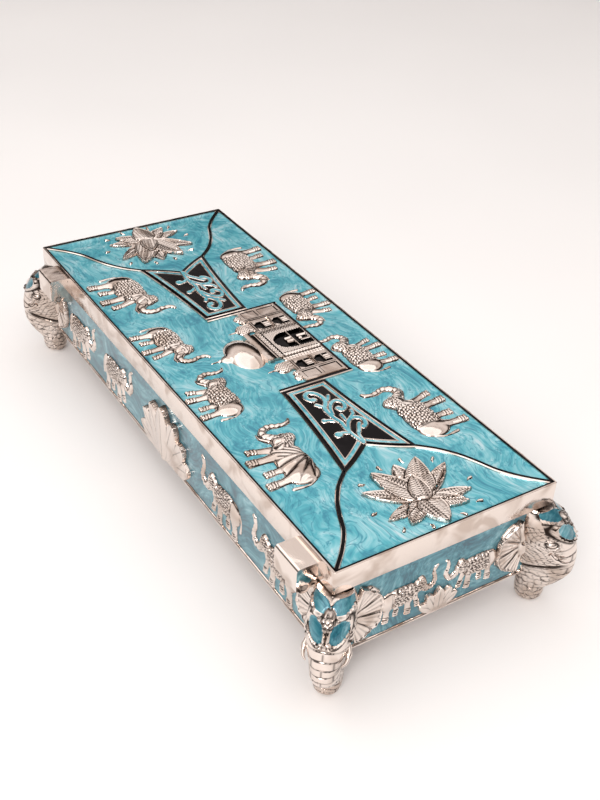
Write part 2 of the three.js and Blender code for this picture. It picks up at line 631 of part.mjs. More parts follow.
function makeFoot(name, sideX, sideY) {
  const turn = Math.atan2(sideY, sideX);
  const corner = new THREE.Matrix4().makeTranslation(sideX * bodyHalfLength, sideY * bodyHalfWidth, 0);
  corner.multiply(new THREE.Matrix4().makeRotationZ(turn));
  const parts = [footHead()];
  for (const side of [-1, 1]) {
    const tusk = new THREE.ConeGeometry(TUSK_RADIUS, TUSK_LENGTH, 4).rotateZ(-Math.PI / 2);
    parts.push(tusk.translate(FOOT_REACH * 0.58, side * FOOT_HALF_WIDTH * 0.72, footHeight * 0.405));
    const eye = new THREE.SphereGeometry(EYE_RADIUS, 4, 4);
    parts.push(eye.translate(FOOT_REACH * 0.4, side * FOOT_HALF_WIDTH * 0.88, footHeight * 0.645));
  }
  const rosette = new THREE.CylinderGeometry(ROSETTE_RADIUS * 0.65, ROSETTE_RADIUS, ROSETTE_DEPTH, 8)
    .rotateZ(-Math.PI / 2 + 0.35);
  parts.push(rosette.translate(FOOT_REACH * 0.8, 0, footHeight * 0.74));
  const placed = parts.map((part) => part.applyMatrix4(corner));
  // Ears lie on both walls next to the corner: the end wall and the long wall.
  const endTurn = sideX > 0 ? Math.PI / 2 : -Math.PI / 2;
  const longTurn = sideY > 0 ? Math.PI : 0;
  const earHeight = footHeight * 0.63;
  const inward = -sideY * sideX;
  const endEar = ear(inward).map((part) =>
    part.translate(-inward * (bodyHalfWidth - EAR_ROOT), earHeight, 0));
  const longEar = ear(-inward).map((part) =>
    part.translate(inward * (bodyHalfLength - EAR_ROOT), earHeight, 0));
  placed.push(...onWall(endEar, endTurn, bodyHalfLength + FOOT_GAP));
  placed.push(...onWall(longEar, longTurn, bodyHalfWidth + FOOT_GAP));
  const room = solid(slab(bodyHalfLength + FOOT_GAP, bodyHalfWidth + FOOT_GAP,
    BASE_HEIGHT - FOOT_GAP, LID_TOP));
  const lip = solid(slab(bodyHalfLength + BASE_LIP + FOOT_GAP, bodyHalfWidth + BASE_LIP + FOOT_GAP,
    BASE_HEIGHT - FOOT_GAP, BASE_HEIGHT + BASE_LIP_HEIGHT + FOOT_GAP));
  return piece(name, join(placed).subtract(room).subtract(lip), plated);
}

const fruitBox = new THREE.Group();
fruitBox.add(piece("box", makeBox(), enamelled));
fruitBox.add(piece("lid", makeLid(), enamelled));
for (const [edge, sideY] of [["front", -1], ["back", 1]]) {
  for (const [end, sideX] of [["left", -1], ["right", 1]]) {
    fruitBox.add(makeFoot(`foot_${edge}_${end}`, sideX, sideY));
  }
}
for (const [end, middle] of Object.entries(arms)) {
  fruitBox.add(makeArm(`hinge_arm_${end}`, middle));
  fruitBox.add(makePin(`hinge_pin_${end}`, middle));
}

export default fruitBox;
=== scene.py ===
"""Visual model of a hinged dried-fruit box: plated castings, pearl enamel and elephant feet.

Every piece is worked out in millimetres as whole numpy arrays and stands where the frame says.
"""
import logging
import math
from collections.abc import Iterator
from dataclasses import dataclass, field
from enum import Enum

import bmesh
import bpy
import numpy as np
from mathutils import Matrix, Vector


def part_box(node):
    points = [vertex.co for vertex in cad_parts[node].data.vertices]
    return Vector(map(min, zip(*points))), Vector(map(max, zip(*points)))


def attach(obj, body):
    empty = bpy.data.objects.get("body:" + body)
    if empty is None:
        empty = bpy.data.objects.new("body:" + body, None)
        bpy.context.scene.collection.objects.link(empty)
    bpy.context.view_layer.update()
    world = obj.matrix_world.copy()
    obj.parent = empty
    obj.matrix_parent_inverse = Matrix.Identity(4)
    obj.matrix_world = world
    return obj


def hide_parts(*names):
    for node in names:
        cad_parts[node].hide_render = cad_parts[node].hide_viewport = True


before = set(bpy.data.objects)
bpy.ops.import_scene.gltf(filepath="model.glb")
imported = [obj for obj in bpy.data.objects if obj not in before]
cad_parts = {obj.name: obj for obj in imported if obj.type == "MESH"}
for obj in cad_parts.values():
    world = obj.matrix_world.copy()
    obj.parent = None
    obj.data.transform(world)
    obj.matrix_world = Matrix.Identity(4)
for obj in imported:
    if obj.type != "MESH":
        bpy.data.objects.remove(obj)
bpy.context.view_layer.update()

log = logging.getLogger("fruit_box")

MM = 0.001
# Edges that turn by more degrees than this stay sharp, on castings and on plain sheet work.
CAST_DEG = 38.0
CRISP_DEG = 30
# A level, in millimetres, far enough below the ground for relief to leave it out.
BELOW = -3.0
# How thick the lid's plate is under its enamel.
LID_PLATE = 2.0
# How far an elephant's middle stands above its feet, as a share of its length.
STANCE = 0.36


class Wall(Enum):
    """The four walls, by how far the front wall turns about +Z to become each of them."""

    FRONT = 0.0
    RIGHT = 90.0
    BACK = 180.0
    LEFT = -90.0


class Dress(Enum):
    """What an elephant wears on its back."""

    BEADED = "beaded blanket"
    PLEATED = "pleated cloth"


class Skin(Enum):
    """Which finish a face of a piece takes, as its material index."""

    METAL = 0
    ENAMEL = 1
    # Painted dark: a near-black mirror for the dark reflection of the room, and for shade in niches.
    BLACK = 2
    SATIN = 3


# Colour and shader nodes


def linear(hex_colour: str) -> tuple[float, float, float, float]:
    """Turns an sRGB hex colour into linear red, green, blue and alpha.

    Args:
        hex_colour: Six hex digits, such as "4fb2bd".

    Returns:
        Linear values from 0 to 1, with alpha 1.
    """
    values = [int(hex_colour[i:i + 2], 16) / 255 for i in (0, 2, 4)]
    curve = [v / 12.92 if v <= 0.04045 else ((v + 0.055) / 1.055) ** 2.4 for v in values]
    return (*curve, 1.0)


def set_inputs(tree: bpy.types.NodeTree, node: bpy.types.Node, inputs: dict) -> None:
    """Links each input of a node that is given an output socket, and sets the others."""
    for key, value in inputs.items():
        if isinstance(value, bpy.types.NodeSocket):
            tree.links.new(value, node.inputs[key])
        else:
            node.inputs[key].default_value = value


def add_node(tree: bpy.types.NodeTree, kind: str, inputs: dict | None = None, **settings: object
             ) -> bpy.types.Node:
    """Adds a shader node, sets its properties and fills or links its inputs.

    Args:
        tree: The material's node tree.
        kind: The node's type name.
        inputs: Input name or number to a value, or to an output socket to link.
        **settings: Properties of the node itself.

    Returns:
        The new node.
    """
    node = tree.nodes.new(kind)
    for name, value in settings.items():
        setattr(node, name, value)
    set_inputs(tree, node, inputs or {})
    return node


def ramp(tree: bpy.types.NodeTree, fac: bpy.types.NodeSocket, stops: list[tuple[float, tuple]]
         ) -> bpy.types.NodeSocket:
    """Adds a colour ramp with its stops and returns its colour output."""
    node = add_node(tree, "ShaderNodeValToRGB", {"Fac": fac})
    elements = node.color_ramp.elements
    elements[0].position, elements[0].color = stops[0]
    elements[1].position, elements[1].color = stops[-1]
    for place, colour in stops[1:-1]:
        elements.new(place).color = colour
    return node.outputs["Color"]


def fresh_material(name: str) -> tuple[bpy.types.Material, bpy.types.NodeTree, bpy.types.Node]:
    """Makes an empty node material and gives it, its tree and its Principled shader."""
    material = bpy.data.materials.new(name)
    material.use_nodes = True
    tree = material.node_tree
    tree.nodes.clear()
    shader = add_node(tree, "ShaderNodeBsdfPrincipled")
    add_node(tree, "ShaderNodeOutputMaterial", {"Surface": shader.outputs["BSDF"]})
    return material, tree, shader


@dataclass(frozen=True)
class PlatedNickel:
    """Bright nickel on a zinc casting, polished on the high places and dull in the hollows, which also take a
    painted shade.
    """

    name: str
    tint: str
    painted_shade_tint: str
    roughness: float
    smudge_tint: str
    hollow_roughness: float = 0.4
    grain_mm: float = 0.9
    grain_depth_mm: float = 0.06
    wander_mm: float = 16.0
    wander_depth_mm: float = 0.25

    def build(self) -> bpy.types.Material:
        """Makes the material.

        Returns:
            A metal whose gloss follows the piece's own "hollow" attribute, and whose colour darkens there as
            painted shade.
        """
        material, tree, shader = fresh_material(self.name)
        hollow = add_node(tree, "ShaderNodeAttribute", attribute_name="hollow").outputs["Fac"]
        place = add_node(tree, "ShaderNodeTexCoord").outputs["Object"]
        # Cast grain is about a millimetre across: it only shows as a faint waver in reflections.
        grain = add_node(tree, "ShaderNodeTexNoise", {
            "Vector": place, "Scale": 1.0 / (self.grain_mm * MM), "Detail": 3.0, "Roughness": 0.6})
        # Hand polishing leaves flats that wander over a couple of centimetres.
        wide = add_node(tree, "ShaderNodeTexNoise", {
            "Vector": place, "Scale": 1.0 / (self.wander_mm * MM), "Detail": 2.0, "Distortion": 0.6})
        smudge = ramp(tree, wide.outputs["Fac"], [
            (0.36, linear(self.smudge_tint)), (0.52, linear(self.tint)), (0.75, linear(self.tint))])
        # Painted shade: the colour darkens towards the shade tint where the piece is hollow.
        colour = add_node(tree, "ShaderNodeMix", {
            "Factor": hollow, "A": smudge, "B": linear(self.painted_shade_tint)}, data_type="RGBA")
        gloss = add_node(tree, "ShaderNodeMapRange", {
            "Value": hollow, "To Min": self.roughness, "To Max": self.hollow_roughness})
        smear = add_node(tree, "ShaderNodeMath", {0: wide.outputs["Fac"], 1: 0.14, 2: -0.06},
                         operation="MULTIPLY_ADD")
        rough = add_node(tree, "ShaderNodeMath", {0: gloss.outputs["Result"], 1: smear.outputs[0]},
                         operation="ADD")
        sway = add_node(tree, "ShaderNodeBump", {
            "Height": wide.outputs["Fac"], "Strength": 0.6, "Distance": self.wander_depth_mm * MM})
        bump = add_node(tree, "ShaderNodeBump", {
            "Height": grain.outputs["Fac"], "Strength": 0.5, "Distance": self.grain_depth_mm * MM,
            "Normal": sway.outputs["Normal"]})
        set_inputs(tree, shader, {
            "Base Color": colour.outputs["Result"], "Roughness": rough.outputs[0],
            "Normal": bump.outputs["Normal"], "Metallic": 1.0})
        return material


@dataclass(frozen=True)
class PearlEnamel:
    """Cold pearl enamel stirred while wet: light and dark teal drawn out in curling streaks."""

    name: str
    deep: str
    middle: str
    light: str
    streak: str
    line_share: float
    swirl_mm: float = 40.0
    stir_mm: float = 60.0
    streak_length_mm: float = 42.0
    streak_width_mm: float = 2.6
    line_mm: float = 9.0
    sink_mm: float = 0.3

    def build(self) -> bpy.types.Material:
        """Makes the material.

        Returns:
            A glossy, slightly metallic paint. A wide noise moves each place sideways, as stirring
            does, and a noise that is stretched along X is read there, so its streaks curl. Thin dark
            lines follow one level of a second, less stretched noise.
        """
        material, tree, shader = fresh_material(self.name)
        place = add_node(tree, "ShaderNodeTexCoord").outputs["Object"]
        per_mm = 1.0 / MM
        drift = add_node(tree, "ShaderNodeTexNoise", {
            "Vector": place, "Scale": per_mm / self.swirl_mm, "Detail": 1.5, "Roughness": 0.4})
        centred = add_node(tree, "ShaderNodeVectorMath", {
            0: drift.outputs["Color"], 1: (0.5, 0.5, 0.5)}, operation="SUBTRACT")
        pushed = add_node(tree, "ShaderNodeVectorMath", {
            0: centred.outputs[0], 1: (self.stir_mm * MM,) * 3, 2: place}, operation="MULTIPLY_ADD")
        across = per_mm / self.streak_width_mm
        stretched = add_node(tree, "ShaderNodeVectorMath", {
            0: pushed.outputs[0], 1: (per_mm / self.streak_length_mm, across, across)}, operation="MULTIPLY")
        streaks = add_node(tree, "ShaderNodeTexNoise", {
            "Vector": stretched.outputs[0], "Scale": 1.0, "Detail": 3.0, "Roughness": 0.6,
            "Distortion": 0.3})
        clouds = add_node(tree, "ShaderNodeTexNoise", {
            "Vector": pushed.outputs[0], "Scale": per_mm / (self.swirl_mm * 0.4), "Detail": 2.0})
        both = add_node(tree, "ShaderNodeMix", {
            "Factor": 0.5, "A": streaks.outputs["Fac"], "B": clouds.outputs["Fac"]}, data_type="FLOAT")
        body = ramp(tree, both.outputs["Result"], [
            (0.34, linear(self.deep)), (0.46, linear(self.middle)), (0.57, linear(self.light)),
            (0.68, linear(self.streak))])
        level = add_node(tree, "ShaderNodeVectorMath", {
            0: pushed.outputs[0], 1: (0.4 * per_mm / self.line_mm,) + (per_mm / self.line_mm,) * 2},
            operation="MULTIPLY")
        bends = add_node(tree, "ShaderNodeTexNoise", {
            "Vector": level.outputs[0], "Scale": 1.0, "Detail": 3.0, "Roughness": 0.6, "Distortion": 0.9})
        black, white = linear("000000"), linear("ffffff")
        line = ramp(tree, bends.outputs["Fac"], [(0.455, black), (0.475, white), (0.48, white), (0.5, black)])
        share = add_node(tree, "ShaderNodeMath", {0: line, 1: self.line_share}, operation="MULTIPLY")
        colour = add_node(tree, "ShaderNodeMix", {
            "Factor": share.outputs[0], "A": body, "B": linear(self.deep)}, data_type="RGBA")
        bump = add_node(tree, "ShaderNodeBump", {
            "Height": both.outputs["Result"], "Strength": 0.6, "Distance": self.sink_mm * MM})
        set_inputs(tree, shader, {
            "Base Color": colour.outputs["Result"], "Normal": bump.outputs["Normal"], "Metallic": 0.3,
            "Roughness": 0.32, "Coat Weight": 0.8, "Coat Roughness": 0.08})
        return material


@dataclass(frozen=True)
class MattePaint:
    """A plain matt paint with a faint mottle, for the floor."""

    name: str
    tint: str
    shade: str

    def build(self) -> bpy.types.Material:
        """Makes the material."""
        material, tree, shader = fresh_material(self.name)
        place = add_node(tree, "ShaderNodeTexCoord").outputs["Object"]
        mottle = add_node(tree, "ShaderNodeTexNoise", {"Vector": place, "Scale": 3.0, "Detail": 2.0})
        colour = ramp(tree, mottle.outputs["Fac"], [(0.3, linear(self.shade)), (0.7, linear(self.tint))])
        set_inputs(tree, shader, {"Base Color": colour, "Roughness": 0.75})
        return material


# Surfaces as whole arrays


@dataclass
class Surface:
    """Points in millimetres with faces, each face's skin and each point's hollowness, which the metal paints
    as shade.
    """

    points: np.ndarray
    faces: list[np.ndarray]
    skins: list[np.ndarray]
    hollow: np.ndarray

    def moved(self, place: np.ndarray) -> "Surface":
        """Gives the surface after a 4 by 4 placement."""
        points = self.points @ place[:3, :3].T + place[:3, 3]
        return Surface(points, self.faces, self.skins, self.hollow)


def joined(parts: list[Surface]) -> Surface:
    """Puts several surfaces into one, in order."""
    faces, skins, start = [], [], 0
    for part in parts:
        faces += [rows + start for rows in part.faces]
        skins += part.skins
        start += len(part.points)
    points = np.concatenate([part.points for part in parts])
    return Surface(points, faces, skins, np.concatenate([part.hollow for part in parts]))


def placement(turn_x: float = 0.0, turn_z: float = 0.0, shift: tuple = (0.0, 0.0, 0.0)) -> np.ndarray:
    """A turn about X, then about Z, then a shift, with turns in degrees."""
    turn = Matrix.Rotation(math.radians(turn_z), 4, "Z") @ Matrix.Rotation(math.radians(turn_x), 4, "X")
    return np.array(Matrix.Translation(shift) @ turn)


def on_wall(surface: Surface, wall: Wall, distance: float) -> Surface:
    """Stands relief work on a wall whose outside is a distance from the middle of the box."""
    upright = surface.moved(placement(turn_x=90.0, shift=(0.0, -distance, 0.0)))
    return upright.moved(placement(turn_z=wall.value))


def grid(points: np.ndarray, wrap: bool = False, skin: Skin = Skin.METAL,
         hollow: np.ndarray | None = None) -> Surface:
    """Joins rows of points into quads.

    Args:
        points: Rows by columns by 3. Columns run to the left of rows, seen from outside.
        wrap: Whether the last column joins the first.
        skin: The finish of every face.
        hollow: Rows by columns, or None for no hollows.

    Returns:
        The surface.
    """
    rows, columns = points.shape[:2]
    number = np.arange(rows * columns).reshape(rows, columns)
    if wrap:
        number = np.concatenate([number, number[:, :1]], axis=1)
    quads = np.stack([number[:-1, :-1], number[:-1, 1:], number[1:, 1:], number[1:, :-1]], axis=-1)
    quads = quads.reshape(-1, 4)
    depth = np.zeros(rows * columns) if hollow is None else hollow.ravel()
    return Surface(points.reshape(-1, 3), [quads], [np.full(len(quads), skin.value)], depth)


def capped(points: np.ndarray, skin: Skin = Skin.METAL) -> Surface:
    """A closed skin through rings of points, with a flat cap at each end."""
    side = grid(points, wrap=True, skin=skin)
    count = points.shape[1]
    low = np.arange(count)[::-1][None, :]
    high = (np.arange(count) + (points.shape[0] - 1) * count)[None, :]
    skins = side.skins + [np.full(1, skin.value), np.full(1, skin.value)]
    return Surface(side.points, side.faces + [low, high], skins, side.hollow)


def relief(x: np.ndarray, y: np.ndarray, height: np.ndarray, hollow: np.ndarray, sunk: float = 0.45,
           skins: np.ndarray | None = None) -> Surface:
    """A height map as a surface, without the faces that lie wholly below the ground.

    Its outermost points are set below the ground, so the underside that closes it stays hidden.

    Args:
        x: Rows by columns of places along the ground.
        y: Rows by columns of places up the ground.
        height: Heights above the ground.
        hollow: Hollowness from 0 to 1, which the metal paints as shade.
        sunk: How far below the ground a face has to lie to be left out.
        skins: A skin value for each point, or None for metal.

    Returns:
        The surface, with height along +Z.
    """
    low = np.maximum(height, -2.0 * sunk)
    low[[0, -1], :] = -2.0 * sunk
    low[:, [0, -1]] = -2.0 * sunk
    whole = grid(np.stack([x, y, low], axis=-1), hollow=hollow)
    quads = whole.faces[0]
    keep = (low.ravel()[quads] > -sunk).any(axis=1)
    quads = quads[keep]
    value = np.zeros(len(quads)) if skins is None else skins.ravel()[quads[:, 0]]
    used, compact = np.unique(quads, return_inverse=True)
    return Surface(whole.points[used], [compact.reshape(-1, 4)], [value.astype(int)], whole.hollow[used])


def ground(half_x: float, half_y: float, step: float) -> tuple[np.ndarray, np.ndarray]:
    """Even rows and columns of places over a rectangle about the origin."""
    columns = np.linspace(-half_x, half_x, int(2 * half_x / step) + 1)
    rows = np.linspace(-half_y, half_y, int(2 * half_y / step) + 1)
    return np.meshgrid(columns, rows)


def smooth_max(a: np.ndarray, b: np.ndarray, blend: float) -> np.ndarray:
    """The larger of two heights, with the crease between them filled over a blend height."""
    near = np.maximum(blend - np.abs(a - b), 0.0) / blend
    return np.maximum(a, b) + near * near * blend / 4.0


def step_up(value: np.ndarray, low: float, high: float) -> np.ndarray:
    """Rises smoothly from 0 at the low value to 1 at the high one."""
    share = np.clip((value - low) / (high - low), 0.0, 1.0)
    return share * share * (3.0 - 2.0 * share)


def bell(value: np.ndarray, width: float) -> np.ndarray:
    """A bell curve, exp(-(value / width) ** 2): 1 where the value is 0."""
    return np.exp(-(value / width) ** 2)


def full_turn(count: int) -> np.ndarray:
    """Even angles once round a circle, the first at 0."""
    return np.linspace(0, 2 * math.pi, count + 1)[:-1]


def unit(vectors: np.ndarray) -> np.ndarray:
    """Rows of vectors, each made one long."""
    return vectors / np.linalg.norm(vectors, axis=1, keepdims=True)


def blurred(values: np.ndarray, reach: int) -> np.ndarray:
    """The mean over a square window, from running sums along each side."""
    result = values
    for axis in (0, 1):
        pad = [(reach + 1, reach) if i == axis else (0, 0) for i in (0, 1)]
        total = np.cumsum(np.pad(result, pad, mode="edge"), axis=axis)
        size = 2 * reach + 1
        count = values.shape[axis]
        upper = np.take(total, np.arange(size, size + count), axis=axis)
        lower = np.take(total, np.arange(count), axis=axis)
        result = (upper - lower) / size
    return result


def hollowness(height: np.ndarray, step: float, reach_mm: float = 1.3, full_mm: float = 0.3
               ) -> np.ndarray:
    """How far each place lies below its neighbourhood, from 0 to 1 at a full depth: the metal paints it as
    shade.
    """
    below = blurred(height, max(1, int(reach_mm / step))) - height
    return np.clip(below / full_mm, 0.0, 1.0)


def dome(x: np.ndarray, y: np.ndarray, centre: tuple, radii: tuple, height: float,
         turn: float = 0.0) -> np.ndarray:
    """A rounded swelling.

    With q the distance from the centre counted in radii, the height is height * sqrt(1 - q * q)
    inside and falls in a straight slope outside.
    """
    c, s = math.cos(turn), math.sin(turn)
    u = ((x - centre[0]) * c + (y - centre[1]) * s) / radii[0]
    v = ((y - centre[1]) * c - (x - centre[0]) * s) / radii[1]
    q = np.sqrt(u * u + v * v)
    return np.where(q < 1, height * np.sqrt(np.maximum(1 - q * q, 0)), (1 - q) * height * 1.6)


def smooth_route(places: list[tuple], count: int) -> np.ndarray:
    """Points on a Catmull-Rom curve through places: each stretch is a cubic whose slope at a
    place is half the step between its neighbours."""
    given = np.asarray(places, float)
    ends = np.vstack([2 * given[0] - given[1], given, 2 * given[-1] - given[-2]])
    t = np.linspace(0, len(given) - 1, count)
    i = np.minimum(t.astype(int), len(given) - 2)
    w = (t - i)[:, None]
    a, b, c, d = ends[i], ends[i + 1], ends[i + 2], ends[i + 3]
    return 0.5 * (2 * b + (c - a) * w + (2 * a - 5 * b + 4 * c - d) * w ** 2
                  + (3 * b - 3 * c + d - a) * w ** 3)


def stretches(x: np.ndarray, y: np.ndarray, route: np.ndarray, widths: np.ndarray) -> Iterator[tuple]:
    """For each stretch of a route, gives its half width nearest to each place, and the distance."""
    for start, end, w0, w1 in zip(route[:-1], route[1:], widths[:-1], widths[1:]):
        step = end - start
        length = max(float(step @ step), 1e-9)
        t = np.clip(((x - start[0]) * step[0] + (y - start[1]) * step[1]) / length, 0, 1)
        yield w0 + (w1 - w0) * t, np.hypot(x - start[0] - t * step[0], y - start[1] - t * step[1])


def bar(x: np.ndarray, y: np.ndarray, route: np.ndarray, widths: np.ndarray, flatness: float = 1.0
        ) -> np.ndarray:
    """A round bar lying along a route: flatness * sqrt(w * w - d * d) at a distance d from the
    route, with w the half width there, and a straight slope outside."""
    best = np.full(x.shape, -np.inf)
    for w, d in stretches(x, y, route, widths):
        inside = flatness * np.sqrt(np.maximum(w * w - d * d, 0))
        best = np.maximum(best, np.where(d < w, inside, (w - d) * 1.5))
    return best


def depth_inside(x: np.ndarray, y: np.ndarray, route: np.ndarray, widths: np.ndarray) -> np.ndarray:
    """How far each place lies inside a stem along a route: its half width there less the distance."""
    best = np.full(x.shape, -np.inf)
    for w, d in stretches(x, y, route, widths):
        best = np.maximum(best, w - d)
    return best


def sweep(route: np.ndarray, profile: np.ndarray, skins: list[Skin]) -> Surface:
    """Carries a profile along a flat route, closed by flat ends.

    Args:
        route: Points of the route, x and y.
        profile: Points across it: distance to the right of the route, and height.
        skins: The skin of the face from each profile point to the next.

    Returns:
        The surface.
    """
    along = unit(np.gradient(route, axis=0))
    right = np.stack([along[:, 1], -along[:, 0]], axis=1)
    flat = route[:, None, :] + right[:, None, :] * profile[None, :, :1]
    height = np.broadcast_to(profile[None, :, 1:], (*flat.shape[:2], 1))
    surface = capped(np.concatenate([flat, height], axis=2))
    values = np.array([skin.value for skin in skins])
    surface.skins[0] = np.tile(values, len(route) - 1)
    return surface


def rounded_loops(half_x: float, half_y: float, profile: np.ndarray, corner: float, steps: int = 6
                  ) -> np.ndarray:
    """Rings round a rectangle: each profile point gives how far its ring lies inside, and how high."""
    angles = np.linspace(0, math.pi / 2, steps)
    quarter = np.stack([np.cos(angles), np.sin(angles)], axis=1)
    rings = []
    for inside, height in profile:
        radius = max(corner - inside, 0.05)
        ring = []
        for sign_x, sign_y, order in ((1, 1, 1), (-1, 1, -1), (-1, -1, 1), (1, -1, -1)):
            centre = np.array([sign_x * (half_x - inside - radius), sign_y * (half_y - inside - radius)])
            arc = centre + quarter[::order] * radius * np.array([sign_x, sign_y])
            ring.append(arc)
        flat = np.concatenate(ring)
        rings.append(np.column_stack([flat, np.full(len(flat), height)]))
    return np.stack(rings)


def shell(half_x: float, half_y: float, profile: np.ndarray, corner: float, bands: dict[int, Skin],
          satin_caps: tuple[int, ...]) -> Surface:
    """A profile carried round a rectangle.

    Args:
        half_x: Half the length of the rectangle.
        half_y: Half its width.
        profile: How far inside it each ring lies, and how high.
        corner: Radius of its corners.
        bands: The skin of each band between two rings that isn't polished.
        satin_caps: Which caps are satin: 1 for the first ring's, 2 for the last ring's.

    Returns:
        The closed surface.
    """
    surface = capped(rounded_loops(half_x, half_y, profile, corner))
    columns = surface.faces[0].shape[0] // (len(profile) - 1)
    skins = np.zeros((len(profile) - 1, columns), int)
    for row, skin in bands.items():
        skins[row] = skin.value
    surface.skins[0] = skins.ravel()
    for cap in satin_caps:
        surface.skins[cap][:] = Skin.SATIN.value
    return surface


# Making Blender objects


def new_object(name: str, data: bpy.types.ID) -> bpy.types.Object:
    """Makes an object at the origin and puts it in the scene."""
    made = bpy.data.objects.new(name, data)
    bpy.context.scene.collection.objects.link(made)
    return made


def make_object(name: str, surface: Surface, finishes: list[bpy.types.Material], sharp_deg: float = CAST_DEG
                ) -> bpy.types.Object:
    """Makes a mesh object in metres from a surface, closed and with its faces pointing out.

    Args:
        name: The piece's name.
        surface: What it is made of.
        finishes: Materials in the order of Skin.
        sharp_deg: Edges that turn by more than this stay sharp.

    Returns:
        The object, at the origin.
    """
    mesh = bpy.data.meshes.new(name)
    sizes = np.concatenate([np.full(len(rows), rows.shape[1]) for rows in surface.faces])
    corners = np.concatenate([rows.ravel() for rows in surface.faces]).astype(np.int32)
    mesh.vertices.add(len(surface.points))
    mesh.vertices.foreach_set("co", (surface.points * MM).astype(np.float32).ravel())
    mesh.loops.add(len(corners))
    mesh.loops.foreach_set("vertex_index", corners)
    mesh.polygons.add(len(sizes))
    starts = np.concatenate([[0], np.cumsum(sizes)[:-1]]).astype(np.int32)
    mesh.polygons.foreach_set("loop_start", starts)
    mesh.polygons.foreach_set("material_index", np.concatenate(surface.skins).astype(np.int32))
    # The hollowness, which the metal paints as shade and dulls.
    depth = mesh.attributes.new("hollow", "FLOAT", "POINT")
    depth.data.foreach_set("value", surface.hollow.astype(np.float32))
    mesh.update(calc_edges=True)
    for finish in finishes:
        mesh.materials.append(finish)
    work = bmesh.new()
    work.from_mesh(mesh)
    bmesh.ops.remove_doubles(work, verts=work.verts, dist=1e-7)
    rim = [edge for edge in work.edges if edge.is_boundary]
    if rim:
        bmesh.ops.holes_fill(work, edges=rim)
    bmesh.ops.recalc_face_normals(work, faces=work.faces)
    work.to_mesh(mesh)
    work.free()
    mesh.polygons.foreach_set("use_smooth", np.ones(len(mesh.polygons), bool))
    mesh.set_sharp_from_angle(angle=math.radians(sharp_deg))
    return new_object(name, mesh)


@dataclass
class Workshop:
    """Finishes shared by all pieces, and how a piece is added to the model."""

    metal: bpy.types.Material
    lid_enamel: bpy.types.Material
    wall_enamel: bpy.types.Material
    # The painted dark reflection, and painted shade in niches.
    black: bpy.types.Material
    satin: bpy.types.Material
    made: list[str] = field(default_factory=list)

    def add(self, name: str, surface: Surface, body: str, slot: str, replaces: tuple[str, ...] = (),
            on_lid: bool = False, sharp_deg: float = CAST_DEG) -> bpy.types.Object:
        """Makes a piece, sets its body and hides the CAD nodes that it stands for.

        Args:
            name: The piece's name.
            surface: Its surface in millimetres.
            body: The CAD body that it moves with.
            slot: The record's material slot; not used.
            replaces: CAD nodes that it stands for.
            on_lid: Whether its enamel is the lid's.
            sharp_deg: Edges that turn by more than this stay sharp.

        Returns:
            The new object.
        """
        enamel = self.lid_enamel if on_lid else self.wall_enamel
        finishes = [self.metal, enamel, self.black, self.satin]
        piece = make_object(name, surface, finishes, sharp_deg)
        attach(piece, body)
        if replaces:
            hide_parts(*replaces)
        self.made.append(name)
        log.info("%s: %d faces on %s", name, len(piece.data.polygons), body)
        return piece


# Sizes that the frame gives


@dataclass(frozen=True)
class BoxSizes:
    """Main places of the box in millimetres, worked out from the frame's lid."""

    half_length: float
    half_width: float
    band_bottom: float
    band_height: float = 13.6
    ridge_height: float = 1.2
    inset: float = 3.2
    base: float = 19.1
    rim_width: float = 2.2
    lip_width: float = 0.95
    ridge_width: float = 2.6
    ridge_slope: float = 0.45

    @property
    def top(self) -> float:
        """The level of the lid's rim and ridges."""
        return self.band_bottom + self.band_height

    @property
    def enamel(self) -> float:
        """The level of the enamel on the lid."""
        return self.top - self.ridge_height

    @property
    def body_half_length(self) -> float:
        """Half the length of the box under its lid."""
        return self.half_length - self.inset

    @property
    def body_half_width(self) -> float:
        """Half the width of the box under its lid."""
        return self.half_width - self.inset

    def wall_plan(self, wall: Wall) -> tuple[float, float]:
        """Half the length of a wall, and its distance from the middle of the box."""
        if wall in (Wall.FRONT, Wall.BACK):
            return self.body_half_length, self.body_half_width
        return self.body_half_width, self.body_half_length


def read_sizes() -> BoxSizes:
    """Reads the lid's plan and underside from the frame."""
    low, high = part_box("lid")
    return BoxSizes(high.x / MM, high.y / MM, low.z / MM)


# Figures in relief


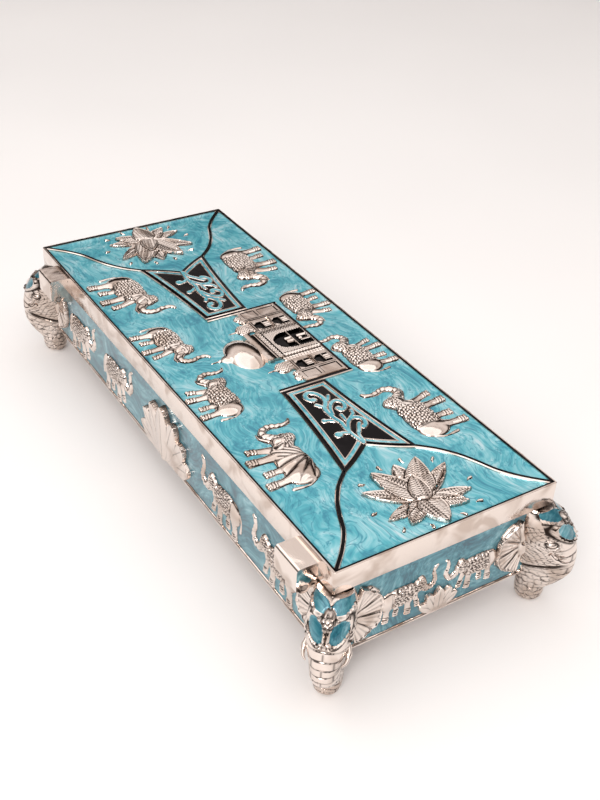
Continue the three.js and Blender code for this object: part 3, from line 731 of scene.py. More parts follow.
@dataclass(frozen=True)
class ElephantRelief:
    """A walking elephant with its trunk raised, as shares of its length."""

    length: float
    height: float
    facing: int
    dress: Dress = Dress.BEADED
    step: float = 0.32
    bead_mm: float = 2.1
    bead_rise: float = 0.85

    def surface(self) -> Surface:
        """Works out the height map.

        Returns:
            The figure facing +x or -x, feet towards -y, height along +z.
        """
        x, y = ground(self.length * 0.57, self.length * 0.43, self.step)
        u, v = x * self.facing / self.length, y / self.length
        height, cloth = self.body(u, v)
        height = self.clothing(u, v, height, cloth)
        height = smooth_max(height, self.limbs(u, v), 0.3)
        height = np.maximum(height, self.head(u, v))
        return relief(x, y, height, hollowness(height, self.step, 1.2, 0.2))

    def body(self, u: np.ndarray, v: np.ndarray) -> tuple[np.ndarray, np.ndarray]:
        """Barrel, rump and shoulder, and how far inside the blanket each place is."""
        h = self.height
        barrel = dome(u, v, (-0.17, 0.05), (0.3, 0.18), h * 0.85)
        rump = dome(u, v, (-0.34, 0.03), (0.15, 0.18), h * 0.85)
        shoulder = dome(u, v, (0.0, 0.05), (0.14, 0.17), h * 0.8)
        whole = smooth_max(smooth_max(barrel, rump, 0.5), shoulder, 0.5)
        hem = -0.1 - 0.02 * np.cos((u + 0.1) * 14.0)
        inside = np.minimum(np.minimum(u + 0.3, 0.1 - u), np.minimum(v - hem, 0.3 - v))
        return whole, inside

    def beads(self, u: np.ndarray, v: np.ndarray, pitch_mm: float) -> np.ndarray:
        """Round beads in staggered rows: sqrt(1 - 4.4 * d * d) at d pitches from a bead's middle."""
        pitch = pitch_mm / self.length
        sway = 0.22 * np.sin(u * 61.0) * np.sin(v * 53.0)
        row = np.floor(v / (pitch * 0.866) + sway)
        bead_u = (u / pitch + (row % 2) * 0.5 + 0.18 * np.sin(row * 2.4)) % 1 - 0.5
        bead_v = (v / (pitch * 0.866) + sway) % 1 - 0.5
        size = 4.4 + 1.6 * np.sin(np.floor(u / pitch) * 1.7 + row * 2.9)
        return np.sqrt(np.maximum(1 - size * (bead_u ** 2 + bead_v ** 2), 0))

    def clothing(self, u: np.ndarray, v: np.ndarray, height: np.ndarray, inside: np.ndarray) -> np.ndarray:
        """Adds a blanket of coarse beads with a thick hem, or cloth that hangs in pleats from the back."""
        on_body = step_up(height, 0.1, 0.5)
        hem = 0.35 * bell(inside - 0.01, 0.009)
        if self.dress is Dress.BEADED:
            pattern = step_up(inside, 0.0, 0.01) * (self.bead_rise * self.beads(u, v, self.bead_mm) - 0.12)
            return height + on_body * (hem + pattern)
        angle = np.arctan2(v - 0.31 - 0.25 * (u + 0.12) ** 2, u + 0.1)
        fan = np.abs(np.sin(angle * 11.0))
        slant = np.abs(np.sin((0.8 * u + 0.55 * v) * self.length * math.pi / 2.6))
        pleats = np.where(u < -0.09, 0.8 * fan ** 0.6, 0.55 * slant) - 0.3
        wide = step_up(np.minimum(u + 0.46, 0.12 - u), 0.0, 0.02) * step_up(v + 0.14, 0.0, 0.03)
        return height + on_body * wide * pleats

    def limbs(self, u: np.ndarray, v: np.ndarray) -> np.ndarray:
        """Legs with anklets and toes, the trunk, a tusk and the tail."""
        size = self.length
        flat = 0.62
        legs = [
            ([(-0.34, 0.0), (-0.36, -0.18), (-0.37, -0.325)], [0.085, 0.05, 0.052], 1.0),
            ([(-0.2, -0.04), (-0.19, -0.16), (-0.2, -0.26)], [0.06, 0.042, 0.044], 0.8),
            ([(0.0, 0.0), (0.01, -0.18), (0.02, -0.325)], [0.075, 0.05, 0.052], 1.0),
            ([(0.1, 0.0), (0.15, -0.14), (0.18, -0.25)], [0.06, 0.042, 0.042], 0.8),
        ]
        whole = np.full(u.shape, -np.inf)
        for places, widths, share in legs:
            route = np.array(places)
            leg = bar(u, v, route, np.array(widths), flat * share) * size
            foot, half = route[-1], widths[-1]
            down = (v - foot[1]) * size
            shank = step_up(3.2 - down, 0.0, 0.6)
            anklets = 0.5 * np.abs(np.sin(math.pi * down / 1.7)) * shank * (leg > 0.1)
            whole = np.maximum(whole, leg + anklets)
            for toe in (-0.62, 0.0, 0.62):
                middle = (foot[0] + toe * half, foot[1] - 0.032)
                nail = dome(u, v, middle, (0.42 * half, 0.022), 0.035 * size * share)
                whole = np.maximum(whole, nail)
        places = [(0.24, 0.09), (0.33, 0.0), (0.42, 0.02), (0.46, 0.12), (0.43, 0.22), (0.44, 0.33),
                  (0.48, 0.36)]
        route = smooth_route(places, 15)
        widths = np.linspace(0.055, 0.02, 15)
        snout = bar(u, v, route, widths, 0.9) * size
        along = np.arctan2(v - 0.15, u - 0.3) * 16.0
        snout = snout + np.where(snout > 0.3, 0.18 * np.sin(along), 0.0)
        tusk = bar(u, v, smooth_route([(0.24, 0.0), (0.32, -0.06), (0.4, -0.06)], 5),
                   np.linspace(0.022, 0.008, 5), 1.2) * size
        tail = bar(u, v, smooth_route([(-0.47, 0.1), (-0.515, 0.0), (-0.5, -0.16)], 6),
                   np.array([0.016, 0.014, 0.012, 0.012, 0.018, 0.02]), 0.9) * size
        return np.maximum(np.maximum(whole, snout), np.maximum(tusk, tail))

    def head(self, u: np.ndarray, v: np.ndarray) -> np.ndarray:
        """Skull, brow, a ribbed ear, an eye and a beaded headdress."""
        h = self.height
        skull = smooth_max(dome(u, v, (0.18, 0.12), (0.12, 0.12), h),
                           dome(u, v, (0.2, 0.2), (0.07, 0.075), h * 0.9), 0.4)
        ear = dome(u, v, (0.085, 0.07), (0.075, 0.125), h * 1.02, turn=-0.2)
        q = np.hypot((u - 0.085) / 0.075, (v - 0.07) / 0.125)
        spread = np.arctan2(v - 0.13, u - 0.12) * 9.0
        rib = 0.4 * bell(q - 0.86, 0.1) + 0.3 * np.cos(spread) * step_up(0.8 - q, 0.0, 0.1) - 0.15
        ear = np.where(ear > 0, np.maximum(ear, h * 0.62) + rib, ear)
        eye = dome(u, v, (0.235, 0.105), (0.018, 0.014), 0.6)
        socket = bell(np.hypot(u - 0.235, v - 0.105), 0.03)
        skull = skull - 0.7 * socket + np.maximum(eye, 0)
        crown = step_up(v - 0.13 - 0.35 * (u - 0.2), 0.0, 0.012) * step_up(skull, 0.2, 0.8)
        strap = bell(v - 0.125 - 0.35 * (u - 0.2), 0.009) * step_up(skull, 0.2, 0.8)
        skull = skull + crown * (0.55 * self.beads(u, v, 0.8 * self.bead_mm) - 0.1) + 0.4 * strap
        return np.maximum(skull, ear)


def leaf_height(x: np.ndarray, y: np.ndarray, foot: tuple, angle: float, length: float, width: float,
                base: float, rise: float) -> np.ndarray:
    """A pointed petal as a height map.

    With p the share of the length from its foot and q the share of the half width there, the
    half width is width * 1.15 * p**0.62 * (1 - p)**0.6 and the height is base + rise *
    sqrt(1 - 0.85 * q * q), lower towards its foot, with a raised edge and a groove along the middle.
    """
    c, s = math.cos(angle), math.sin(angle)
    p = ((x - foot[0]) * c + (y - foot[1]) * s) / length
    across = (y - foot[1]) * c - (x - foot[0]) * s
    share = np.clip(p, 1e-4, 1 - 1e-4)
    half = np.maximum(width * 1.15 * share ** 0.62 * (1 - share) ** 0.6, 0.03)
    q = np.abs(across) / half
    arch = rise * np.sqrt(np.maximum(1 - 0.85 * q * q, 0))
    edge = 0.22 * bell(q - 0.9, 0.09)
    groove = 0.28 * bell(across, 0.45)
    inside = base + arch * (0.55 + 0.45 * p) + edge - groove
    outside = -np.maximum(np.maximum(q - 1, 0) * half, np.maximum(-p, p - 1) * length) * 1.6
    return np.where((q < 1) & (p > 0) & (p < 1), inside, np.minimum(outside, base))


@dataclass(frozen=True)
class Petal:
    """One petal: its tip, where it leaves the heart as a share of the way to the tip, half its width,
    how high it lies, how far it arches, and how far a fold along it lies to one side."""

    tip: tuple[float, float]
    root: float
    half_width: float
    level: float
    arch: float
    fold: float = 0.0


@dataclass(frozen=True)
class LotusRelief:
    """A lotus seen from above and in front, with little drops of metal scattered round it."""

    reach: float = 31.0
    step: float = 0.3
    petals: tuple = (
        Petal((29.1, -2.4), 0.25, 7.4, 0.5, 0.8, 1.1),
        Petal((-4.8, -26.7), 0.2, 4.6, 0.5, 0.9), Petal((-5.0, 24.9), 0.2, 4.3, 0.5, 0.9),
        Petal((17.6, -27.0), 0.15, 5.2, 0.8, 1.1, -0.9), Petal((17.9, 25.1), 0.1, 5.3, 0.7, 1.1),
        Petal((-12.2, -19.2), 0.1, 5.8, 0.9, 1.0), Petal((-12.8, 16.6), 0.05, 5.6, 0.9, 1.0),
        Petal((28.3, -15.6), 0.0, 8.6, 1.1, 1.2), Petal((28.4, 12.6), 0.0, 8.0, 1.1, 1.1),
        Petal((-19.8, -0.9), 0.0, 8.2, 1.3, 1.1), Petal((16.4, -5.0), -0.1, 6.2, 1.7, 1.1),
    )
    drops: tuple = (
        (2.4, -30.3, 90), (23.5, -23.2, 130), (-13.7, -23.8, 60), (-17.8, -11.0, 20), (-17.6, 7.6, -15),
        (-13.1, 21.1, -50), (2.7, 27.0, -90), (23.8, 20.2, -120), (30.3, -8.4, 175), (30.3, 5.2, 185))

    def surface(self) -> Surface:
        """Works out the flower, petal over petal: large ones towards +x, small ones towards -x.

        A petal that is laid over others presses a narrow groove into them round its edge, painted dark as
        shade.
        """
        x, y = ground(self.reach + 2.0, self.reach + 2.0, self.step)
        height = np.full(x.shape, BELOW)
        for petal in self.petals:
            inside, top = self.petal_height(x, y, petal)
            groove = 0.9 * bell(np.minimum(inside, 0), 0.5) * (height > 0)
            height = np.where(inside > 0, np.maximum(top, 0.3), height - groove)
        heart = dome(x, y, (0.0, 0.5), (2.0, 4.2), 3.1, turn=-0.25)
        height = np.maximum(height, heart)
        for cx, cy, degrees in self.drops:
            c, s = math.cos(math.radians(degrees)), math.sin(math.radians(degrees))
            tail = (cx + 1.3 * c - 0.8 * s, cy + 1.3 * s + 0.8 * c)
            route = np.array([(cx - 1.5 * c, cy - 1.5 * s), (cx, cy), tail])
            height = np.maximum(height, bar(x, y, route, np.array([0.95, 0.75, 0.3]), 1.3))
        return relief(x, y, height, hollowness(height, self.step, 1.0, 0.2))

    def petal_height(self, x: np.ndarray, y: np.ndarray, petal: Petal) -> tuple[np.ndarray, np.ndarray]:
        """How far inside a petal each place is, and the petal's height there.

        With p the share of the way from the root to the tip, half the width is
        w * 1.95 * p**0.42 * (1 - p)**0.78. The top rises by the arch towards the middle, carries a
        bead along its edge and short slanting veins inside, and is slit along its fold.
        """
        tip = np.array(petal.tip)
        root = tip * petal.root
        length = float(np.hypot(*(tip - root)))
        c, s = (tip - root) / length
        p = ((x - root[0]) * c + (y - root[1]) * s) / length
        across = (y - root[1]) * c - (x - root[0]) * s
        share = np.clip(p, 1e-4, 1 - 1e-4)
        half = petal.half_width * 1.95 * share ** 0.42 * (1 - share) ** 0.78
        inside = np.where((p > 0) & (p < 1), half - np.abs(across), -np.maximum(-p, p - 1) * length)
        q = np.abs(across) / np.maximum(half, 0.3)
        arch = petal.arch * np.sqrt(np.maximum(1 - 0.8 * q * q, 0.05))
        edge = 0.42 * bell(inside - 0.5, 0.38)
        vein = np.cos(2 * math.pi * (p * length - 0.9 * np.abs(across)) / 1.7)
        dots = 0.3 * vein * (0.55 + 0.45 * np.cos(2 * math.pi * across / 2.1))
        inner = step_up(inside, 0.9, 1.5) * step_up(0.9 - p, 0.0, 0.15)
        rib = 0.3 * bell(across, 0.5)
        slit = 0.0
        if petal.fold:
            line = across - petal.fold * petal.half_width * 0.5 * np.sin(math.pi * share)
            slit = 1.3 * bell(line, 0.6) * step_up(p, 0.15, 0.3) * step_up(0.9 - p, 0, 0.2)
        return inside, petal.level + arch * (0.6 + 0.4 * p) + edge + inner * dots - rib - slit


@dataclass(frozen=True)
class WallLotusRelief:
    """A half lotus that opens upwards, with smooth, ridged petals."""

    reach: float
    height: float
    pairs: int
    spread: float
    step: float = 0.36

    def surface(self) -> Surface:
        """Works out the flower, with its foot at the origin and its middle petal towards +y."""
        x, y = ground(self.reach * 1.06, self.reach * 0.56, self.step)
        y = y + self.reach * 0.52
        height = np.full(x.shape, BELOW)
        for i in range(self.pairs, -1, -1):
            for side in ((1,) if i == 0 else (1, -1)):
                angle = math.pi / 2 + side * i * self.spread
                leaf = leaf_height(x, y, (0.0, 0.0), angle, self.reach * (1 - 0.05 * i), self.reach * 0.42,
                                   self.height * (0.5 - 0.14 * i), self.height * 0.5)
                height = np.maximum(height, leaf)
        height = np.where(y < 0.15, -1.0, height)
        return relief(x, y, height, hollowness(height, self.step, 1.6, 0.35))


@dataclass(frozen=True)
class PalaceRelief:
    """A domed palace front in low relief, about its own middle, foot towards -y."""

    half_width: float
    foot: float
    eaves: float
    height: float = 1.6
    dome_half: float = 16.5
    dome_height: float = 5.0
    step: float = 0.27

    def surface(self) -> Surface:
        """Works out the palace.

        Returns:
            Its height map over the lid's plan, with niches painted black as shade and dark reflection, and
            plain polished domes.
        """
        top = 36.0
        columns = np.arange(-self.half_width, self.half_width + self.step, self.step)
        rows = np.arange(self.foot, top, self.step)
        x, y = np.meshgrid(columns, rows)
        h = self.height
        height = np.full(x.shape, BELOW)
        dark = np.zeros(x.shape, bool)
        side = np.abs(x)
        high = self.eaves - self.foot
        tower, field_end, field_start, inner = 30.4, 29.4, 19.0, 14.7
        up = y - self.foot

        def over(x0: float, x1: float, y0: float, y1: float, level: float | np.ndarray, black: bool = False
                 ) -> None:
            """Sets a level, and metal or painted black, over a rectangle mirrored about the middle."""
            inside = (side >= x0) & (side <= x1) & (up >= y0) & (up <= y1)
            height[inside] = level if np.isscalar(level) else level[inside]
            dark[inside] = black

        def arch(half: float, y0: float, y1: float) -> np.ndarray:
            """Whether a place is under a pointed arch about the middle."""
            spring = y1 - 1.15 * half
            head = np.sqrt(np.maximum(1 - (side / half) ** 2, 0)) * half * 1.15
            return (side < half) & (up > y0) & (up < spring + head)

        edge = self.half_width - 0.5
        over(0, edge, 0.0, high, 0.6 * h)
        # Corner towers: a raised frame round two plain panels.
        over(tower, edge, 0.0, high + 0.8, h)
        # Painted black lines round the panels, as shade.
        over(tower + 0.9, tower + 1.3, 0.8, high - 0.4, 0.45 * h, True)
        for y0, y1 in ((1.6, 13.6), (15.4, high - 1.4)):
            over(tower + 2.4, edge - 1.4, y0, y1, 0.45 * h, True)
            over(tower + 2.8, edge - 1.6, y0 + 0.3, y1 - 0.2, 0.85 * h)
        # Wings: two storeys of openings painted black as shade, each with a pier, a balcony and a pointed
        # head.
        over(field_start - 0.4, field_end + 0.5, 0.0, high, 0.55 * h)
        for y0 in (1.0, 13.4):
            over(field_start, field_end, y0, y0 + 10.2, 0.15 * h, True)
            at_pier = np.abs(side - np.where(x > 0, field_end - 1.3, field_start + 1.3)) < 1.4
            tall = (up > y0) & (up < y0 + 9.9) & (side > field_start) & (side < field_end)
            height[at_pier & tall] = 0.8 * h
            dark[at_pier & tall] = False
            middle = np.where(x > 0, field_start + 4.0, field_end - 4.0)
            near = np.abs(side - middle)
            balcony = (near < 2.6) & (up > y0) & (up < y0 + 4.6)
            height[balcony] = (0.7 * h + 0.25 * np.cos(near * 3.2))[balcony]
            rail = (near < 3.4) & (np.abs(up - y0 - 4.4) < 0.45)
            height[rail] = 0.95 * h
            dark[balcony | rail] = False
            corner = (near > 4.2 - 0.9 * np.maximum(up - y0 - 7.0, 0)) & (up > y0 + 7.0) & tall & ~at_pier
            height[corner] = 0.7 * h
            dark[corner] = False
        for line in (11.7, 12.7, high - 1.6, high - 0.5):
            over(field_start - 0.4, field_end + 0.5, line - 0.25, line + 0.25, 0.95 * h)
        # Twin columns and a twisted column on each side of the portal.
        twist = 0.3 * np.sin(2 * math.pi * (up + 0.8 * side) / 2.0)
        for x0, x1, level in ((16.9, 18.5, 0.8), (15.1, 16.6, 0.8), (12.1, inner, 1.35)):
            round_top = np.sqrt(np.maximum(1 - ((side - (x0 + x1) / 2) / ((x1 - x0) / 2)) ** 2, 0))
            over(x0, x1, 0.0, high + (6.1 if level > 1 else 0.5), level * h - 0.5 + 0.5 * round_top + twist)
        # A line painted black as shade, beside the portal.
        over(11.7, 12.1, 0.0, high + 0.6, 0.7 * h, True)
        # The portal: a carved frame, an arch painted black as shade, a little door with its balcony, and a
        # rail.
        carving = 0.22 * np.sin(side * 4.1) * np.sin(up * 3.7)
        over(0, 11.7, 0.0, high - 1.2, 1.25 * h + carving)
        opening = arch(8.6, 0.6, high - 3.2)
        height[opening] = 0.15 * h
        dark[opening] = True
        over(0, 3.6, 0.6, 7.2, 0.9 * h + 0.3 * np.cos(side * 2.2))
        over(0, 1.2, 1.2, 5.0, 0.3 * h, True)
        over(0, 8.5, 10.2, 11.0, 0.95 * h)
        over(0, 3.8, 8.0, 9.6, 0.6 * h, True)
        over(0, 3.2, 11.0, 15.2, 0.8 * h + 0.3 * np.cos(side * 1.9))
        # Cornice: carved courses between lines painted black as shade, then the drum under the dome.
        over(0, inner, high - 1.0, high + 6.2, 1.2 * h)
        for y0, y1 in ((high - 1.1, high - 0.5), (high + 2.4, high + 2.9), (high + 4.0, high + 5.6)):
            over(0, inner - 0.4, y0, y1, 0.6 * h, True)
        over(0, inner - 0.4, high - 0.4, high + 2.3, 1.2 * h + 0.3 * np.sin(side * 2.9) * np.sin(up * 2.6))
        drum = 1.5 * h + 1.0 * np.sqrt(np.maximum(1 - ((up - high - 8.2) / 2.7) ** 2, 0))
        over(0, inner + 0.6, high + 6.1, high + 10.6, drum)
        # Plain polished dome, pointed at its top, and a beaded finial.
        dome_y = self.eaves + 9.6 + self.dome_half * 0.49
        bulge = dome(x, y, (0.0, dome_y), (self.dome_half, self.dome_half * 0.68), self.dome_height)
        bulge = np.where(bulge > 0, self.dome_height * np.abs(bulge / self.dome_height) ** 1.6, bulge)
        spire = dome(x, y, (0.0, dome_y + self.dome_half * 0.55), (4.5, 6.0), 1.6)
        finial = bar(x, y, np.array([[0.0, dome_y + 8.0], [0.0, 34.0]]), np.array([1.0, 0.35]), 1.2)
        beads = np.maximum.reduce([dome(x, y, (0.0, c), (r, r), r) for c, r in ((25.0, 1.5), (28.5, 1.2))])
        roof = np.maximum(smooth_max(bulge, spire, 0.8), np.maximum(finial, beads))
        above = y > self.eaves + 9.8
        height = np.where(above, np.maximum(height, roof), height)
        dark[above] = False
        # Little kiosks with their own domes on the wings.
        kiosk = self.half_width * 0.56
        small = np.abs(side - kiosk)
        posts = (small < 4.6) & (y > self.eaves - 0.3) & (y < self.eaves + 3.6)
        height[posts] = (h * 0.6 + 0.5 * np.cos(small * 3.0))[posts]
        knobs = 0.45 * np.cos(side * 3.4) * np.cos(y * 3.4)
        cap = dome(side, y, (kiosk, self.eaves + 5.6), (5.2, 4.6), h * 1.3)
        cap = np.where(cap > 0.2, cap + knobs, cap)
        spike = bar(side, y, np.array([[kiosk, self.eaves + 8.0], [kiosk, self.eaves + 15.0]]),
                    np.array([0.9, 0.3]), 1.2)
        height = np.maximum(height, np.maximum(cap, spike))
        for place, size in ((self.half_width * 0.76, 2.0), (self.half_width * 0.86, 2.6)):
            crest = dome(side, y, (place, self.eaves + size * 0.9), (size, size), h)
            height = np.maximum(height, np.where(crest > 0.2, crest + knobs, crest))
        # Painted black: shade and dark reflection in the niches and lines.
        skins = np.where(dark, Skin.BLACK.value, Skin.METAL.value)
        # Painted shade in the hollows, left off the roof.
        hollow = hollowness(height, self.step, 0.8, 0.4) * (y < self.eaves + 9)
        return relief(x, y, height, hollow, skins=skins)


# The lid


@dataclass
class Lid:
    """The cap lid: shell, enamel field, ridges with painted dark reflection, scroll panels, lotuses,
    elephants and palace.
    """

    sizes: BoxSizes
    shop: Workshop
    wall: float = 2.3
    plate: float = LID_PLATE
    corner: float = 1.0
    panel_start: float = 44.7
    panel_length: float = 77.4
    panel_narrow: float = 14.6
    panel_wide: float = 23.8
    panel_notch: float = 15.0
    panel_border: float = 3.0
    panel_hollow: float = 1.1
    panel_bulge: float = 1.0
    stem_edge: float = 0.5
    stems: tuple = (
        (((105.4, 0.2), (101.2, 0.8), (95.6, 1.4), (89.9, 1.4), (84.4, 0.8), (78.7, 2.0), (73.1, 2.0),
          (69.1, 1.4), (66.4, -1.0), (63.0, -2.7), (59.0, -3.0), (55.1, -1.6), (52.6, 1.4), (54.0, 4.4),
          (57.1, 5.3), (59.9, 3.8), (59.9, 2.2)), 1.6),
        (((76.5, 0.8), (71.4, -1.0), (67.4, -3.9), (65.8, -7.5), (68.0, -9.9), (71.4, -10.2),
          (74.5, -8.1), (74.8, -5.7), (72.5, -4.8)), 1.5),
        (((92.8, 1.1), (87.7, -1.6), (84.6, -4.5), (83.8, -7.8), (85.5, -10.5), (88.8, -11.4),
          (92.2, -9.9), (93.6, -7.8)), 1.55),
        (((104.6, -0.7), (98.3, -1.6), (94.5, -4.2), (91.6, -6.0), (89.7, -7.5)), 1.35),
        (((83.2, -5.7), (80.9, -9.3), (77.5, -10.5)), 1.25),
        (((83.8, -2.7), (78.7, -3.3)), 1.25),
        (((64.1, -3.9), (59.9, -6.9)), 1.25),
        (((82.1, 3.2), (80.4, 5.0), (79.2, 8.0)), 1.35),
        (((94.5, 2.6), (92.8, 5.0), (93.3, 8.0)), 1.45),
        (((67.4, 2.0), (64.7, 3.8)), 1.45),
    )
    bulbs: tuple = (
        (59.9, 2.6, 2.1), (72.8, -5.4, 2.0), (93.3, 8.0, 2.6), (79.2, 8.0, 1.9), (93.0, -8.2, 1.7))
    large: float = 53.0
    small: float = 45.0
    large_place: float = 0.517
    small_place: float = 0.16
    figure_height: float = 3.2
    house_half: float = 43.1
    house_base: float = -32.8
    house_eaves: float = -5.2
    lotus_inset: float = 23.0
    large_margin: float = 3.0
    small_margin: float = 1.2

    def build(self) -> None:
        """Makes every piece of the lid."""
        self.make_shell()
        self.make_enamel()
        self.make_ridges()
        for side, end in ((-1, "left"), (1, "right")):
            self.make_panel(side, end)
            self.make_lotus(side, end)
            for other, edge in ((-1, "front"), (1, "back")):
                self.make_elephants(side, end, other, edge)
        self.make_palace()

    def make_shell(self) -> None:
        """Band, rim and underside: a profile carried round the lid's plan."""
        s = self.sizes
        under = s.enamel - self.plate
        profile = np.array([
            (self.wall, under), (self.wall, s.band_bottom + 0.3), (self.wall - 0.3, s.band_bottom),
            (0.35, s.band_bottom), (0.1, s.band_bottom + 0.1), (0.0, s.band_bottom + 0.35),
            (0.0, s.top - 0.5), (0.08, s.top - 0.2), (0.3, s.top), (s.lip_width, s.top),
            (s.rim_width - 0.3, s.top), (s.rim_width, s.top - 0.3), (s.rim_width + 0.1, s.enamel - 0.3)])
        # The rim's flat top takes the painted dark reflection.
        bands = {0: Skin.SATIN, 1: Skin.SATIN, 9: Skin.BLACK, 10: Skin.BLACK}
        cap = shell(s.half_length, s.half_width, profile, self.corner, bands, (1,))
        self.shop.add("lid_shell", cap, "lid", "plated", replaces=("lid",), sharp_deg=CRISP_DEG)

    def make_enamel(self) -> None:
        """The enamel field: a nearly level sheet that pools a little, climbing at its edges.

        Its outermost points lie inside the rim and below the field, so the underside stays hidden.
        """
        s = self.sizes
        step = 1.6
        x, y = ground(s.half_length - s.rim_width + step, s.half_width - s.rim_width + step, step)
        edge = np.minimum(s.half_length - s.rim_width - np.abs(x), s.half_width - s.rim_width - np.abs(y))
        climb = 0.35 * np.exp(-np.maximum(edge, 0) / 0.8)
        ripple = 0.05 * np.sin(x * 0.21 + 2 * np.sin(y * 0.13)) * np.sin(y * 0.27 + 1.5 * np.sin(x * 0.09))
        height = s.enamel + climb + ripple
        sunk = s.enamel - 1.0
        height[[0, -1], :] = sunk
        height[:, [0, -1]] = sunk
        sheet = grid(np.stack([x, y, height], axis=-1), skin=Skin.ENAMEL)
        self.shop.add("lid_enamel", sheet, "lid", "enamelled_lid", on_lid=True)

    def ridge_profile(self, width: float) -> tuple[np.ndarray, list[Skin]]:
        """A flat-topped ridge with bright sloping sides and a painted dark reflection on its top: points
        across it, and their skins.
        """
        s = self.sizes
        low, half = s.enamel - 0.4, width / 2
        slope = s.ridge_slope
        points = [(-half - 0.1, low), (half + 0.1, low), (half, s.top - slope), (half - slope, s.top),
                  (-half + slope, s.top), (-half, s.top - slope)]
        metal = Skin.METAL
        return np.array(points), [metal, metal, metal, Skin.BLACK, metal, metal]

    def make_ridges(self) -> None:
        """The frame of the palace and the four S-shaped ridges to the corners."""
        s = self.sizes
        profile, skins = self.ridge_profile(s.ridge_width)
        parts = []
        half, base, top = self.house_half, self.house_base, self.panel_narrow
        for x in (-half, half):
            parts.append(sweep(np.array([[x, base - s.ridge_width / 2], [x, 0.0], [x, top]]), profile, skins))
        parts.append(sweep(np.array([[-half, base], [0.0, base], [half, base]]), profile, skins))
        start = np.array([self.panel_start + self.panel_length - 2.0, self.panel_wide - s.ridge_width / 2])
        end = np.array([s.half_length - s.rim_width + 0.6, s.half_width - s.rim_width + 0.6])
        shares = [(0, 0), (0.14, 0.2), (0.3, 0.36), (0.46, 0.47), (0.64, 0.58), (0.82, 0.76), (1, 1)]
        route = smooth_route([tuple(start + (end - start) * np.array(pair)) for pair in shares], 40)
        for sign_x in (-1, 1):
            for sign_y in (-1, 1):
                parts.append(sweep(route * np.array([sign_x, sign_y]), profile, skins))
        self.shop.add("lid_ridges", joined(parts), "lid", "plated", sharp_deg=CRISP_DEG)

    def panel_edge(self, inset: float, count: int = 24) -> np.ndarray:
        """One panel's outline, for the right end.

        Each side is a curve that is moved inwards, lengthened at both ends and cut where it comes
        nearest to the next one, so that the corners stay clean at every inset.

        Args:
            inset: How far inside the panel's outer edge the outline runs.
            count: Points along each side.

        Returns:
            Points anticlockwise from the lower corner next to the palace.
        """
        t = np.linspace(0, 1, 240)
        half = (self.panel_narrow + (self.panel_wide - self.panel_narrow) * t
                - self.panel_hollow * 4 * t * (1 - t))
        lower = np.stack([self.panel_start + self.panel_length * t, -half], axis=1)
        vertex = np.array([self.panel_start + self.panel_length - self.panel_notch, 0.0])
        bulge = self.panel_bulge * 4 * t * (1 - t)
        notch = lower[-1] + (vertex - lower[-1]) * t[:, None] + np.stack([bulge, np.zeros_like(t)], axis=1)
        mirror = np.array([1, -1])
        end = lower[0] * mirror + (lower[0] - lower[0] * mirror) * t[:, None]
        moved = [self.offset_side(side, inset) for side in (
            lower, notch, notch[::-1] * mirror, lower[::-1] * mirror, end)]
        starts, stops, corners = [], [], []
        for i, side in enumerate(moved):
            after = moved[(i + 1) % 5]
            gap = np.linalg.norm(side[:, None, :] - after[None, :, :], axis=2)
            here, there = np.unravel_index(np.argmin(gap), gap.shape)
            stops.append(here)
            starts.append(there)
            corners.append((side[here] + after[there]) / 2)
        pieces = []
        for i, side in enumerate(moved):
            kept = np.concatenate([[corners[i - 1]], side[starts[i - 1] + 1:stops[i]], [corners[i]]])
            run = np.concatenate([[0], np.cumsum(np.linalg.norm(np.diff(kept, axis=0), axis=1))])
            even = np.linspace(0, run[-1], count)[:-1]
            pieces.append(np.stack([np.interp(even, run, kept[:, k]) for k in (0, 1)], axis=1))
        return np.concatenate(pieces)

    def offset_side(self, side: np.ndarray, inset: float, more: float = 9.0) -> np.ndarray:
        """Moves a curve to its left by an inset and lengthens it straight on at both ends."""
        along = unit(np.gradient(side, axis=0))
        moved = side + np.stack([-along[:, 1], along[:, 0]], axis=1) * inset
        far = np.linspace(more, 0, 60)[:-1, None]
        return np.concatenate([moved[0] - along[0] * far, moved, moved[-1] + along[-1] * far[::-1]])

    def ring_between(self, outer: tuple[float, float], inner: tuple[float, float], skin: Skin,
                     side: int) -> Surface:
        """A sheet between two outlines of a panel, each given by its inset and its height."""
        rings = []
        for inset, height in (outer, inner):
            edge = self.panel_edge(inset) * np.array([side, 1])
            rings.append(np.column_stack([edge, np.full(len(edge), height)]))
        return grid(np.stack(rings), wrap=True, skin=skin)

    def make_panel(self, side: int, end: str) -> None:
        """A scroll panel: a line with a painted dark reflection, an enamel border, and a field with the same
        painted dark reflection and enamel scrollwork.
        """
        s = self.sizes
        low, top = s.enamel - 0.4, s.top
        line, border, slope = s.ridge_width, s.ridge_width + self.panel_border, s.ridge_slope
